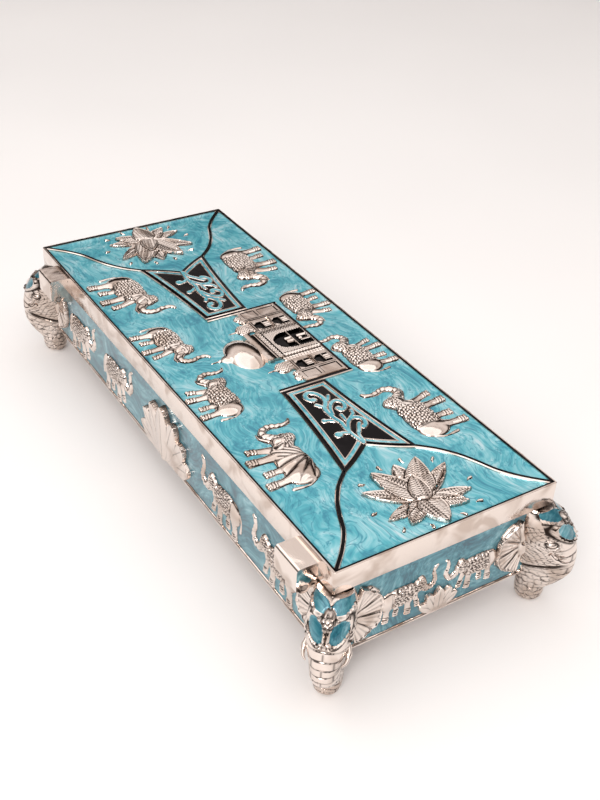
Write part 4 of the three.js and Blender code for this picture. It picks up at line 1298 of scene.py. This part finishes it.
        # The panel's line and field take the painted dark reflection.
        steps = [
            ((-0.1, low), (0.0, top - slope), Skin.METAL), ((0.0, top - slope), (slope, top), Skin.METAL),
            ((slope, top), (line - 0.2, top), Skin.BLACK), ((line - 0.2, top), (line, top - 0.1), Skin.METAL),
            ((line, top - 0.1), (line + 0.5, top - 0.1), Skin.METAL),
            ((line + 0.5, top - 0.1), (line + 0.6, top - 0.35), Skin.METAL),
            ((line + 0.6, top - 0.35), (border - 0.7, top - 0.35), Skin.ENAMEL),
            ((border - 0.7, top - 0.35), (border - 0.6, top - 0.05), Skin.METAL),
            ((border - 0.6, top - 0.05), (border, top - 0.05), Skin.METAL),
            ((border, top - 0.05), (border + 0.05, top - 0.2), Skin.METAL),
        ]
        parts = [self.ring_between(outer, inner, skin, side) for outer, inner, skin in steps]
        field_edge = self.panel_edge(border + 0.05) * np.array([side, 1])
        face = np.column_stack([field_edge, np.full(len(field_edge), top - 0.2)])
        order = np.arange(len(face))[None, ::side]
        parts.append(Surface(face, [order], [np.full(1, Skin.BLACK.value)], np.zeros(len(face))))
        parts.append(self.scrollwork(side))
        self.shop.add(f"scroll_panel_{end}", joined(parts), "lid", "enamelled_lid", on_lid=True,
                      sharp_deg=CRISP_DEG)

    def scrollwork(self, side: int) -> Surface:
        """Enamel stems between silver edges, which part from one stem and end in hooks and bulbs.

        The stems are one height map: a step up at their common edge, and a sunk middle for enamel.
        """
        top, step = self.sizes.top, 0.24
        x, y = ground(self.panel_length / 2, self.panel_narrow, step)
        x = x + self.panel_start + self.panel_length / 2
        inside = np.full(x.shape, -np.inf)
        for places, half_width in self.stems:
            route = smooth_route(places, 5 * len(places))
            widths = half_width * np.minimum(1.0, 0.8 + 0.5 * np.linspace(0, 1, len(route)))
            inside = np.maximum(inside, depth_inside(x, y, route, widths))
        for cx, cy, radius in self.bulbs:
            inside = np.maximum(inside, radius - np.hypot(x - cx, y - cy))
        edge = self.stem_edge
        height = np.where(inside > -step, 0.35 * step_up(inside, -0.1, 0.2), BELOW)
        height = height - 0.14 * step_up(inside, edge - 0.1, edge + 0.12)
        skins = np.where(inside > edge, Skin.ENAMEL.value, Skin.METAL.value)
        flat = relief(x * side, y, height, np.zeros(x.shape), skins=skins)
        return flat.moved(placement(shift=(0.0, 0.0, top - 0.12)))

    def make_lotus(self, side: int, end: str) -> None:
        """The lotus between a panel and the end of the lid, opening towards the palace."""
        s = self.sizes
        turn = 180.0 if side > 0 else 0.0
        at = (side * (s.half_length - self.lotus_inset), 0.0, s.enamel)
        flower = LotusRelief().surface().moved(placement(turn_z=turn, shift=at))
        self.shop.add(f"lid_lotus_{end}", flower, "lid", "plated")

    def make_elephants(self, side: int, end: str, other: int, edge: str) -> None:
        """A large and a small elephant in one quarter of the lid, feet to the long edge."""
        s = self.sizes
        turn = 180.0 if other > 0 else 0.0
        facing = side if other > 0 else -side
        rows = [("large", self.large, self.large_place, self.large_margin),
                ("small", self.small, self.small_place, self.small_margin)]
        for kind, length, place, margin in rows:
            pleated = kind == "large" and other > 0 and side < 0
            dress = Dress.PLEATED if pleated else Dress.BEADED
            figure = ElephantRelief(length, self.figure_height, facing, dress).surface()
            y = other * (s.half_width - s.rim_width - margin - length * STANCE)
            at = (side * place * s.half_length, y, s.enamel)
            figure = figure.moved(placement(turn_z=turn, shift=at))
            self.shop.add(f"{kind}_elephant_{edge}_{end}", figure, "lid", "plated")

    def make_palace(self) -> None:
        """The palace relief in the middle of the lid."""
        s = self.sizes
        foot = self.house_base + s.ridge_width / 2
        palace = PalaceRelief(self.house_half - s.ridge_width / 2, foot, self.house_eaves).surface()
        self.shop.add("lid_palace", palace.moved(placement(shift=(0.0, 0.0, s.enamel))), "lid", "plated")


# The box under the lid


@dataclass
class Tray:
    """The box body: shell, wall enamel and wall figures."""

    sizes: BoxSizes
    shop: Workshop
    wall: float = 2.2
    floor: float = 2.4
    corner: float = 0.8
    lip: float = 0.8
    lip_height: float = 1.7
    lid_plate: float = LID_PLATE
    lid_gap: float = 0.3
    enamel_margin: float = 0.3
    enamel_step: float = 2.2

    def build(self) -> None:
        """Makes every piece of the tray."""
        self.make_shell()
        self.make_enamel()
        self.make_figures()

    def make_shell(self) -> None:
        """Walls, floor and base lip: a profile carried round the tray's plan."""
        s = self.sizes
        top = s.enamel - self.lid_plate - self.lid_gap
        lip, base = self.lip, s.base
        profile = np.array([
            (self.wall, base + self.floor), (self.wall, top - 0.4), (self.wall - 0.35, top),
            (0.35, top), (0.0, top - 0.4), (0.0, base + self.lip_height + 0.2),
            (-lip + 0.25, base + self.lip_height), (-lip, base + self.lip_height - 0.3),
            (-lip, base + 0.35), (-lip + 0.3, base), (3.0, base)])
        bands = {0: Skin.SATIN, 1: Skin.SATIN, 9: Skin.SATIN}
        tray = shell(s.body_half_length, s.body_half_width, profile, self.corner, bands, (1, 2))
        self.shop.add("tray_shell", tray, "box", "plated", replaces=("box",), sharp_deg=CRISP_DEG)

    def make_enamel(self) -> None:
        """A sheet of enamel on each wall, thin at its edges."""
        s = self.sizes
        low, high = s.base + self.lip_height + 0.1, s.band_bottom - 0.4
        middle, rise = (low + high) / 2, (high - low) / 2
        for wall in Wall:
            wall_half, distance = s.wall_plan(wall)
            half = wall_half - self.enamel_margin
            x, y = ground(half, rise, self.enamel_step)
            ripple = 0.03 * np.sin(x * 0.23 + 2 * np.sin(y * 0.3)) * np.sin(y * 0.4 + np.sin(x * 0.11))
            edge = np.minimum(half - np.abs(x), rise - np.abs(y))
            height = 0.12 * step_up(edge, 0.0, 2.0) - 0.03 + ripple
            sheet = grid(np.stack([x, y + middle, height], axis=-1), skin=Skin.ENAMEL)
            name = f"wall_enamel_{wall.name.lower()}"
            self.shop.add(name, on_wall(sheet, wall, distance), "box", "enamelled_body")

    def make_figures(self) -> None:
        """Elephants that face each other on each wall, and a half lotus in the middle."""
        s = self.sizes
        foot = s.base + self.lip_height
        for wall in Wall:
            distance = s.wall_plan(wall)[1]
            name = wall.name.lower()
            if wall in (Wall.FRONT, Wall.BACK):
                flower = WallLotusRelief(38.0, 4.5, 3, 0.42).surface()
                length, lift = 44.0, 3.2
                places = [0.38 * s.body_half_length, 0.7 * s.body_half_length]
            else:
                flower = WallLotusRelief(16.0, 2.6, 2, 0.5, step=0.3).surface()
                length, lift = 35.0, 8.0
                places = [19.5]
            flower = flower.moved(placement(shift=(0.0, foot, 0.0)))
            self.shop.add(f"wall_lotus_{name}", on_wall(flower, wall, distance), "box", "plated")
            parts = []
            for side in (-1, 1):
                for place in places:
                    figure = ElephantRelief(length, 2.6, -side, step=0.35).surface()
                    parts.append(figure.moved(placement(
                        shift=(side * place, s.base + lift + length * STANCE, 0.0))))
            herd = on_wall(joined(parts), wall, distance)
            self.shop.add(f"wall_elephants_{name}", herd, "box", "plated")


# Feet


@dataclass
class ElephantFoot:
    """A cast elephant head at one corner, whose trunk is the foot."""

    sizes: BoxSizes
    shop: Workshop
    side_x: int
    side_y: int
    name: str
    height: float = 64.5
    reach: float = 22.2
    half_width: float = 11.5
    ear_length: float = 19.0
    ear_inset: float = 10.0
    ear_level: float = 0.63

    def build(self) -> None:
        """Makes the head, its ears and its tusks as one piece."""
        turn = math.degrees(math.atan2(self.side_y, self.side_x))
        s = self.sizes
        corner = (self.side_x * s.body_half_length, self.side_y * s.body_half_width, 0.0)
        place = placement(turn_z=turn, shift=corner)
        head = self.head().moved(place)
        head.points = self.clear_of_box(head.points)
        parts = [head]
        parts += [part.moved(place) for part in self.tusks()]
        parts += self.ears()
        self.shop.add(f"elephant_{self.name}", joined(parts), "box", "plated",
                      replaces=(f"foot_{self.name}",), sharp_deg=45)

    def head(self) -> Surface:
        """The head and trunk: sections up the height, each an oval with named front, back and width,
        then carved by moving points in or out along the section."""
        rows = np.array([
            (0.0, 0.2, -0.08, 0.3), (0.012, 0.31, -0.18, 0.46), (0.04, 0.38, -0.25, 0.58),
            (0.09, 0.42, -0.29, 0.65), (0.17, 0.46, -0.3, 0.68), (0.26, 0.76, -0.3, 0.69),
            (0.35, 0.95, -0.36, 0.7), (0.45, 1.0, -0.54, 0.76), (0.56, 0.99, -0.56, 0.88),
            (0.68, 0.91, -0.56, 0.98), (0.8, 0.78, -0.56, 1.0), (0.9, 0.54, -0.56, 0.95),
            (0.97, 0.3, -0.54, 0.8), (1.0, 0.2, -0.5, 0.7)])
        levels = np.concatenate([np.linspace(0, 0.1, 24)[:-1], np.linspace(0.1, 1.0, 135)])
        fine = smooth_route([tuple(row) for row in rows], 900)
        front, back, half = (np.interp(levels, fine[:, 0], fine[:, i]) for i in (1, 2, 3))
        angle = full_turn(150)
        c, n = np.cos(angle), np.sin(angle)
        wide = np.sign(n) * np.abs(n) ** 0.85
        middle = (front + back)[:, None] / 2 * self.reach
        radius = (front - back)[:, None] / 2 * self.reach
        s = middle + radius * c[None, :]
        t = self.half_width * half[:, None] * wide[None, :]
        z = np.broadcast_to(levels[:, None] * self.height, s.shape)
        turned = np.broadcast_to(np.abs((angle + math.pi) % (2 * math.pi) - math.pi)[None, :], s.shape)
        carve, hollow, skins = self.carving(t, z, turned)
        s = s + carve * np.broadcast_to(c, s.shape)
        t = t + carve * np.broadcast_to(n, s.shape)
        surface = capped(np.stack([s, t, z], axis=-1))
        surface.hollow = hollow.ravel()
        quads = surface.faces[0]
        surface.skins[0] = skins.ravel()[quads[:, 0]]
        return surface

    def carving(self, t: np.ndarray, z: np.ndarray, turned: np.ndarray
                ) -> tuple[np.ndarray, np.ndarray, np.ndarray]:
        """How far each place stands out, how hollow it is and which skin it has.

        Args:
            t: Places across the head.
            z: Heights.
            turned: Angle away from straight ahead, from 0 to pi.

        Returns:
            Carving depth in millimetres, hollowness and skins.
        """
        # Heights in millimetres that several carvings share, the eye's angle, and a cell's middle.
        trunk_root, leg_top, eye_z, rosette_z = 44.5, 27.5, 46.0, 57.3
        eye_turn, cell_side, cell_z = 1.3, 5.5, 52.2
        ahead = step_up(1.3 - turned, 0.0, 0.4)
        beside = step_up(turned, 0.8, 1.1)
        side = np.abs(t)
        front = turned < 1.5
        carve, hollow = np.zeros(t.shape), np.zeros(t.shape)
        skins = np.zeros(t.shape, int)

        def cut(depth: float, line: np.ndarray, share: np.ndarray | float = 1.0) -> None:
            """Cuts a groove where the line value is near 1, with painted shade at its bottom."""
            nonlocal carve, hollow
            carve = carve - depth * line * share
            hollow = np.maximum(hollow, np.clip(1.2 * line * share, 0, 1))

        def lift(height: float, line: np.ndarray) -> None:
            """Raises a ridge where the line value is near 1, bright along its top, where the painted shade is
            taken off.
            """
            nonlocal carve, hollow
            carve = carve + height * line
            hollow = hollow * (1 - 0.8 * line)

        # Folds across the trunk, 5.8 mm apart at its root and closer towards its tip, with
        # short upright cracks between them.
        run = trunk_root - z - 0.03 * t ** 2
        fold_number = run / (5.8 - 0.045 * np.maximum(run, 0))
        across = bell((fold_number + 0.5) % 1 - 0.5, 0.075)
        trunk = ahead * step_up(run, -1.0, 0.4) * step_up(z, 2, 4)
        cut(0.7, across, trunk * (0.75 + 0.25 * np.cos(t * 0.5 + 2.0 * np.floor(fold_number + 0.5))))
        half_step = 0.5 * (np.floor(fold_number) % 2)
        upright = bell((t / 11.0 + half_step + 0.5) % 1 - 0.5, 0.04)
        cut(0.3, upright, 0.6 * trunk * step_up(run, 1.0, 2.0))
        # Courses of hide like bricks on both sides of the leg.
        course = (leg_top - z) / 3.1
        course = course + 0.16 * np.sin(turned * 9.0 + 0.7 * z)
        joint = (turned * 2.9 + 0.5 * (np.floor(course) % 2) + 0.12 * np.sin(2.1 * z)) % 1
        brick = np.maximum(0.8 * bell(joint - 0.5, 0.075),
                           bell((course + 0.5) % 1 - 0.5, 0.11))
        worn = 0.65 + 0.35 * np.sin(3.0 * turned + 0.5 * z) * np.sin(5.0 * turned - 0.3 * z)
        cut(0.55, brick * worn, beside * step_up(leg_top - z, 0, 1.5) * step_up(z, 1.2, 2.5))
        # Fine crossing wrinkles on the cheeks, which bend round the eye.
        eye = np.hypot((turned - eye_turn) * 9.5, (z - eye_z) * 1.05)
        bend = 0.9 * np.sin(turned * 5.0 + z * 0.22)
        first = np.abs(np.sin(math.pi * (eye + bend) / 1.9))
        second = np.abs(np.sin(math.pi * (z * 0.55 - turned * 7.5 + bend) / 2.3))
        web = np.clip(1 - np.minimum(first, second) / 0.3, 0, 1)
        cheek = beside * step_up(z, 28.0, 30.0) * step_up(57.0 - z, 0, 2.5) * step_up(eye, 2.6, 3.6)
        cut(0.42, web, cheek)
        # The eye: a ball in a socket painted dark as shade, under two heavy lids.
        lift(0.9, bell(eye, 1.25))
        cut(0.9, bell(eye - 2.1, 0.5))
        lid = bell(turned - eye_turn, 0.36)
        for place, height in ((48.9, 0.8), (50.5, 0.5), (43.2, 0.6)):
            lift(height, bell(z - place + 1.4 * (turned - eye_turn), 0.55) * lid)
        # Four enamel cells on the forehead, each in a raised scroll: leaning ovals, and arcs above.
        lean_a = (side - cell_side) * 0.86 - (z - cell_z) * 0.5
        lean_b = (side - cell_side) * 0.5 + (z - cell_z) * 0.86
        oval = np.hypot(lean_a / 3.7, lean_b / 5.0)
        arc = np.hypot((side - 5.4) / 4.8, (z - 61.4) / 2.9)
        for cell in (oval, arc):
            inside = (cell < 1.0) & front
            carve = carve * ~inside - 0.35 * inside
            hollow = hollow * ~inside
            skins[inside] = Skin.ENAMEL.value
            lift(0.75, bell(cell - 1.14, 0.11) * front)
            cut(0.5, bell(cell - 1.42, 0.1), front)
        # A rosette of petals between the cells, and two curls under them.
        ring = np.hypot(t, z - rosette_z)
        petals = 0.5 + 0.5 * np.cos(7 * np.arctan2(z - rosette_z, t))
        lift(1.2, step_up(3.0 - ring, 0, 0.5) * front)
        cut(0.6, bell(ring - 1.2, 0.35), front)
        cut(0.5, petals * bell(ring - 2.3, 0.6), front)
        cut(0.7, bell(ring - 3.4, 0.4), front)
        skins[(ring < 3.6) & front] = Skin.METAL.value
        curl = np.hypot(side - 1.9, z - 46.9)
        lift(0.9, bell(curl - 1.3, 0.45) * front)
        cut(0.6, bell(curl, 0.6), front)
        # The fold between the head and the leg.
        fold = bell(z - 27.8 - 3 * np.cos(turned), 1.1) * step_up(turned, 0.5, 1.1)
        cut(1.1, fold)
        return carve, hollow, skins

    def clear_of_box(self, points: np.ndarray) -> np.ndarray:
        """Presses points that would lie in the box's corner back onto its two walls.

        A point goes straight to the nearer wall, and along it towards the corner by as much as it
        lay inside, so a line that crosses the corner runs round it instead.
        """
        s = self.sizes
        bite = 0.12
        out_x = self.side_x * points[:, 0] - s.body_half_length
        out_y = self.side_y * points[:, 1] - s.body_half_width
        z = points[:, 2]
        inside = (out_x < -bite) & (out_y < -bite) & (z > s.base)
        to_x = out_x >= out_y
        along = bite + np.abs(out_x - out_y)
        new_x = self.side_x * (s.body_half_length - np.where(to_x, bite, along))
        new_y = self.side_y * (s.body_half_width - np.where(to_x, along, bite))
        x, y = np.where(inside, new_x, points[:, 0]), np.where(inside, new_y, points[:, 1])
        return np.stack([x, y, z], axis=1)

    def tusks(self) -> list[Surface]:
        """A curved, tapering tusk on each side of the trunk."""
        parts = []
        for side in (-1, 1):
            route = smooth_route([(8.0, side * 9.8, 39.4), (12.3, side * 10.8, 36.6),
                                  (15.8, side * 10.2, 35.1), (18.1, side * 8.6, 35.0)], 14)
            share = np.linspace(0, 1, 14)
            width = 1.5 * (1 - 0.9 * share) ** 0.6 + 0.5 * bell(share - 0.26, 0.07)
            angle = full_turn(12)
            along = unit(np.gradient(route, axis=0))
            across = unit(np.cross(along, np.array([0.0, 0.0, 1.0])))
            rise = np.cross(across, along)
            ring = (across[:, None, :] * np.cos(angle)[None, :, None]
                    + rise[:, None, :] * np.sin(angle)[None, :, None]) * width[:, None, None]
            parts.append(capped(route[:, None, :] + ring))
        return parts

    def ears(self) -> list[Surface]:
        """A ribbed, lobed ear on each of the two walls that meet here."""
        s = self.sizes
        end_wall = Wall.RIGHT if self.side_x > 0 else Wall.LEFT
        long_wall = Wall.BACK if self.side_y > 0 else Wall.FRONT
        inward = -self.side_y * self.side_x
        lift = self.height * self.ear_level
        end_shift = (-inward * (s.body_half_width - self.ear_inset), lift, 0.0)
        long_shift = (inward * (s.body_half_length - self.ear_inset), lift, 0.0)
        end_ear = self.ear(inward).moved(placement(shift=end_shift))
        long_ear = self.ear(-inward).moved(placement(shift=long_shift))
        return [on_wall(end_ear, end_wall, s.body_half_length),
                on_wall(long_ear, long_wall, s.body_half_width)]

    def ear(self, way: int) -> Surface:
        """One ear, as a height map about its root.

        At an angle a and a distance r from the root, the outer edge lies at L * (1 + 0.06 *
        |sin(3.4 * a)|). The blade rises towards its edge, is cut by deep folds that spread from the
        root, and its upper edge is rolled into a thick lip that ends in a hollow.
        """
        x, y = ground(self.ear_length * 1.2, self.ear_length * 1.15, 0.3)
        across, r = x * way + 1.0, np.hypot(x * way + 1.0, y)
        angle = np.arctan2(y, across)
        lobes = 1.0 + 0.06 * np.abs(np.sin(3.4 * angle))
        reach = self.ear_length * lobes * (1 - 0.12 * np.maximum(-angle, 0))
        inside = np.minimum(reach - r, r * np.minimum(1.28 - angle, angle + 1.35))
        share = np.clip(r / reach, 0, 1)
        folds = np.abs(np.sin(5.2 * (angle + 0.12 * share))) ** 0.5
        blade = 1.1 + 1.5 * share - 0.9 * (1 - folds) * step_up(r, 4.0, 6.0) * step_up(1.0 - angle, 0, 0.15)
        ripple = 0.18 * np.sin(angle * 31.0) * step_up(share, 0.35, 0.6) * (angle < 0.95)
        rim = 0.6 * bell(inside - 0.55, 0.45)
        height = np.where(inside > 0, blade + ripple + rim, inside * 3.0)
        lip = np.array([(c * self.ear_length * 0.98, s * self.ear_length * 0.98)
                        for c, s in ((0.1, 0.22), (0.2, 0.5), (0.34, 0.78), (0.6, 0.84), (0.86, 0.62))])
        height = np.maximum(height, bar(across, y, smooth_route(lip, 24), np.linspace(2.5, 1.3, 24), 1.25))
        root = dome(x * way, y, (-2.0, -1.0), (6.0, 8.0), 3.2)
        height = smooth_max(height, root, 0.6)
        height = height - 2.4 * bell(np.hypot(across - 1.6, y - 3.0), 1.3)
        height = np.where(x * way < -5, BELOW, height)
        return relief(x, y, height, hollowness(height, 0.3, 1.3, 0.4))


# Hinges


@dataclass
class Hinges:
    """Hinge covers with their webs on the lid, and lugs on the tray."""

    sizes: BoxSizes
    shop: Workshop
    pin_radius: float = 1.6
    clearance: float = 0.35
    sheet: float = 1.6
    web: float = 1.8
    web_gap: float = 0.4
    recess: float = 1.2
    cover_height: float = 13.8
    web_rim: float = 1.4
    lug_radius: float = 2.7

    def build(self) -> None:
        """Makes a cover and a lug for each arm that the frame has."""
        for end in ("left", "right"):
            low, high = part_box(f"hinge_arm_{end}")
            pin_low, pin_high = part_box(f"hinge_pin_{end}")
            pin = (np.array(pin_low) + np.array(pin_high)) / 2 / MM
            self.make_cover(end, np.array(low) / MM, np.array(high) / MM, pin)
            self.make_lug(end, np.array(pin_low)[0] / MM, np.array(pin_high)[0] / MM, pin)

    def bar_along_x(self, outline: np.ndarray, x0: float, x1: float, hole: np.ndarray | None = None
                    ) -> Surface:
        """A bar with an outline given across the pin, with a round hole where one is given."""
        ends = [x0, x1]
        rings = np.stack([np.column_stack([np.full(len(outline), x), outline]) for x in ends])
        if hole is None:
            return capped(rings)
        wall = grid(rings, wrap=True)
        bore = grid(np.stack([np.column_stack([np.full(len(hole), x), hole]) for x in ends[::-1]]), wrap=True)
        faces = [grid(np.stack([np.column_stack([np.full(len(outline), x), edge])
                                for edge in ((outline, hole) if x == x0 else (hole, outline))]), wrap=True)
                 for x in ends]
        return joined([wall, bore, *faces])

    def circle(self, pin: np.ndarray, radius: float, count: int) -> np.ndarray:
        """Points round the pin, across it."""
        angle = full_turn(count)
        return np.stack([pin[1] + radius * np.cos(angle), pin[2] + radius * np.sin(angle)], axis=1)

    def make_cover(self, end: str, low: np.ndarray, high: np.ndarray, pin: np.ndarray) -> None:
        """The cover: an L-shaped sheet with a rounded edge, and a recessed web at each end."""
        s = self.sizes
        wall, web, recess = self.sheet, self.web, self.recess
        back, outer, top = s.half_width - 0.05, high[1], high[2]
        bottom = top - self.cover_height
        turn = np.linspace(0, math.pi / 2, 8)
        bend = np.stack([outer - 2 + 2 * np.cos(turn), top - 2 + 2 * np.sin(turn)], axis=1)
        inner = np.stack([outer - wall - 0.6 + 0.6 * np.cos(turn[::-1]),
                          top - wall - 0.6 + 0.6 * np.sin(turn[::-1])], axis=1)
        outline = np.concatenate([
            [(outer - wall, bottom), (outer - wall + 0.3, bottom - 0.05), (outer - 0.3, bottom - 0.05),
             (outer, bottom + 0.25)], bend, [(back, top), (back, top - wall)], inner])
        parts = [self.bar_along_x(outline, low[0], high[0])]
        hole_radius = self.pin_radius + self.clearance
        count = 40
        angle = full_turn(count)
        reach = hole_radius + self.web_rim
        left, right = pin[1] - back, outer - wall * 0.5 - pin[1]
        up = top - wall * 0.5 - pin[2]
        c, n = np.cos(angle), np.sin(angle)
        # The web reaches the cover above the pin and is round below it.
        scale_y = np.where(c > 0, right, left) / np.maximum(np.abs(c), 1e-6)
        scale_z = up / np.maximum(n, 1e-6)
        out = np.where(n > 0, np.minimum(scale_y, scale_z), reach)
        far = 1e3
        out = np.minimum(out, np.where((n <= 0) & (c > 0), right / np.maximum(c, 1e-6), far))
        web_line = np.stack([pin[1] + out * c, pin[2] + out * n], axis=1)
        hole = self.circle(pin, hole_radius, count)
        for x0 in (low[0] + recess, high[0] - recess - web):
            parts.append(self.bar_along_x(web_line, x0, x0 + web, hole))
        self.shop.add(f"hinge_cover_{end}", joined(parts), "lid", "plated",
                      replaces=(f"hinge_arm_{end}",), sharp_deg=CRISP_DEG)

    def make_lug(self, end: str, x0: float, x1: float, pin: np.ndarray) -> None:
        """The tray's lug between the webs, with a round end about the pin."""
        s = self.sizes
        radius = self.lug_radius
        web_and_gap = self.web + self.web_gap
        root = s.body_half_width - 0.4
        count = 36
        angle = full_turn(count)
        c, n = np.cos(angle), np.sin(angle)
        out_y = np.where(c < -0.2, root, pin[1] + radius * c)
        at_wall = pin[2] + radius * np.clip(n * 1.02, -1, 1) - 3.0 * (n < 0)
        out_z = np.where(c < -0.2, at_wall, pin[2] + radius * n)
        line = np.stack([out_y, out_z], axis=1)
        hole = self.circle(pin, self.pin_radius + self.clearance, count)
        lug = self.bar_along_x(line, x0 + web_and_gap, x1 - web_and_gap, hole)
        self.shop.add(f"hinge_lug_{end}", lug, "box", "plated", sharp_deg=CRISP_DEG)


# The studio


@dataclass(frozen=True)
class Studio:
    """Camera, pale floor and soft lights."""

    camera_place: tuple = (-468.4, 281.7, 422.8)
    camera_aim: tuple = (-56.3, 9.2, 79.0)
    camera_roll_deg: float = -2.93
    focal_px: float = 1092.7
    image_height_px: float = 800.0
    sensor_mm: float = 36.0
    room_strength: float = 1.1
    room: tuple = ((0.0, "fdfcfb"), (0.06, "f8f4f2"), (0.13, "2c2522"), (0.34, "231d1b"), (0.43, "5a504b"),
                   (0.5, "d2c7c2"), (0.6, "efe7e3"), (0.72, "e2d8d3"), (0.82, "8a7f7a"), (0.92, "35302e"),
                   (1.0, "5a5350"))
    lamps: tuple = (
        ("overhead", (-0.1, 0.2, 1.6), (0.0, 0.0, 0.0), 3.0, 28.0, "fffcfa"),
        ("window", (-1.2, 1.3, 1.1), (0.0, 0.0, 0.05), 0.7, 16.0, "fff8f4"),
    )

    def build(self) -> None:
        """Makes everything that isn't part of the box, and shows light as it is, without a film curve."""
        bpy.context.scene.view_settings.view_transform = "Standard"
        self.make_camera()
        self.make_floor()
        self.make_lights()

    def make_camera(self) -> None:
        """A camera at the photograph's viewpoint, from which the box keeps its proportions."""
        data = bpy.data.cameras.new("camera")
        data.sensor_width = self.sensor_mm
        data.lens = self.sensor_mm * self.focal_px / self.image_height_px
        data.clip_end = 50.0
        camera = new_object("camera", data)
        place = Vector(self.camera_place) * MM
        ahead = Vector(self.camera_aim) * MM - place
        level = ahead.to_track_quat("-Z", "Y").to_matrix()
        roll = Matrix.Rotation(math.radians(-self.camera_roll_deg), 3, "Z")
        camera.matrix_world = Matrix.Translation(place) @ (level @ roll).to_4x4()
        bpy.context.scene.camera = camera

    def make_floor(self) -> None:
        """A plain, flat, pale floor."""
        data = bpy.data.meshes.new("floor")
        half = 4.0
        corners = [(-half, -half, 0.0), (half, -half, 0.0), (half, half, 0.0), (-half, half, 0.0)]
        data.from_pydata(corners, [], [(0, 1, 2, 3)])
        floor = new_object("floor", data)
        data.materials.append(MattePaint("matt_white_floor", "fbfbfb", "f7f7f7").build())

    def make_lights(self) -> None:
        """Large soft lights over the box, in a pale room with darker bands for the metal to mirror."""
        for name, place, aim, size, power, tint in self.lamps:
            data = bpy.data.lights.new(name, "AREA")
            data.shape = "DISK"
            data.size = size
            data.energy = power
            data.color = linear(tint)[:3]
            ahead = Vector(aim) - Vector(place)
            turn = ahead.to_track_quat("-Z", "Y").to_matrix().to_4x4()
            new_object(name, data).matrix_world = Matrix.Translation(place) @ turn
        world = bpy.data.worlds.new("room")
        world.use_nodes = True
        tree = world.node_tree
        way = add_node(tree, "ShaderNodeTexCoord").outputs["Generated"]
        rise = add_node(tree, "ShaderNodeSeparateXYZ", {"Vector": way}).outputs["Z"]
        bands = ramp(tree, rise, [(place, linear(tint)) for place, tint in self.room])
        back = tree.nodes["Background"]
        set_inputs(tree, back, {"Color": bands, "Strength": self.room_strength})
        bpy.context.scene.world = world


def make_workshop() -> Workshop:
    """Makes the finishes.

    Polished nickel plate gives a warm silver mirror, and satin plate, inside and below, the same
    metal with soft, spread reflections. A near-black mirror paints the dark reflection of the room,
    and the shade of niches, into flat tops, lines and openings; pearl enamel gives a glossy,
    streaked teal, darker and greyer on the walls.
    """
    metal = PlatedNickel("polished_nickel_plate", "eaded6", "2f2622", 0.1, "cbbbb0", wander_depth_mm=0.7)
    satin = PlatedNickel("satin_nickel_plate", "c2b7b1", "6b5f59", 0.34, "b9aea8")
    # Painted dark reflection: flat tops, lines and niches take a near-black metal.
    black = PlatedNickel("painted_dark_reflection_plate", "1c1a1c", "0e0c0d", 0.14, "262426")
    lid_enamel = PearlEnamel("marbled_pearl_enamel", "1c87a1", "4ab2c2", "86cdd9", "bfe1ea", 0.8)
    # The walls' enamel: a darker, greyer copy of the lid's.
    wall_enamel = PearlEnamel("darker_wall_pearl_enamel", "175468", "2b7384", "5596a4", "92bfca", 0.5)
    return Workshop(*(finish.build() for finish in (metal, lid_enamel, wall_enamel, black, satin)))


def main() -> None:
    """Builds the whole model in order."""
    logging.basicConfig(level=logging.INFO, format="%(message)s")
    sizes = read_sizes()
    shop = make_workshop()
    Studio().build()
    Lid(sizes, shop).build()
    Tray(sizes, shop).build()
    Hinges(sizes, shop).build()
    for edge, side_y in (("front", -1), ("back", 1)):
        for end, side_x in (("left", -1), ("right", 1)):
            ElephantFoot(sizes, shop, side_x, side_y, f"{edge}_{end}").build()
    for end in ("left", "right"):
        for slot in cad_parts[f"hinge_pin_{end}"].material_slots:
            slot.material = shop.satin
    log.info("%d pieces", len(shop.made))


if __name__ == "__main__":
    main()
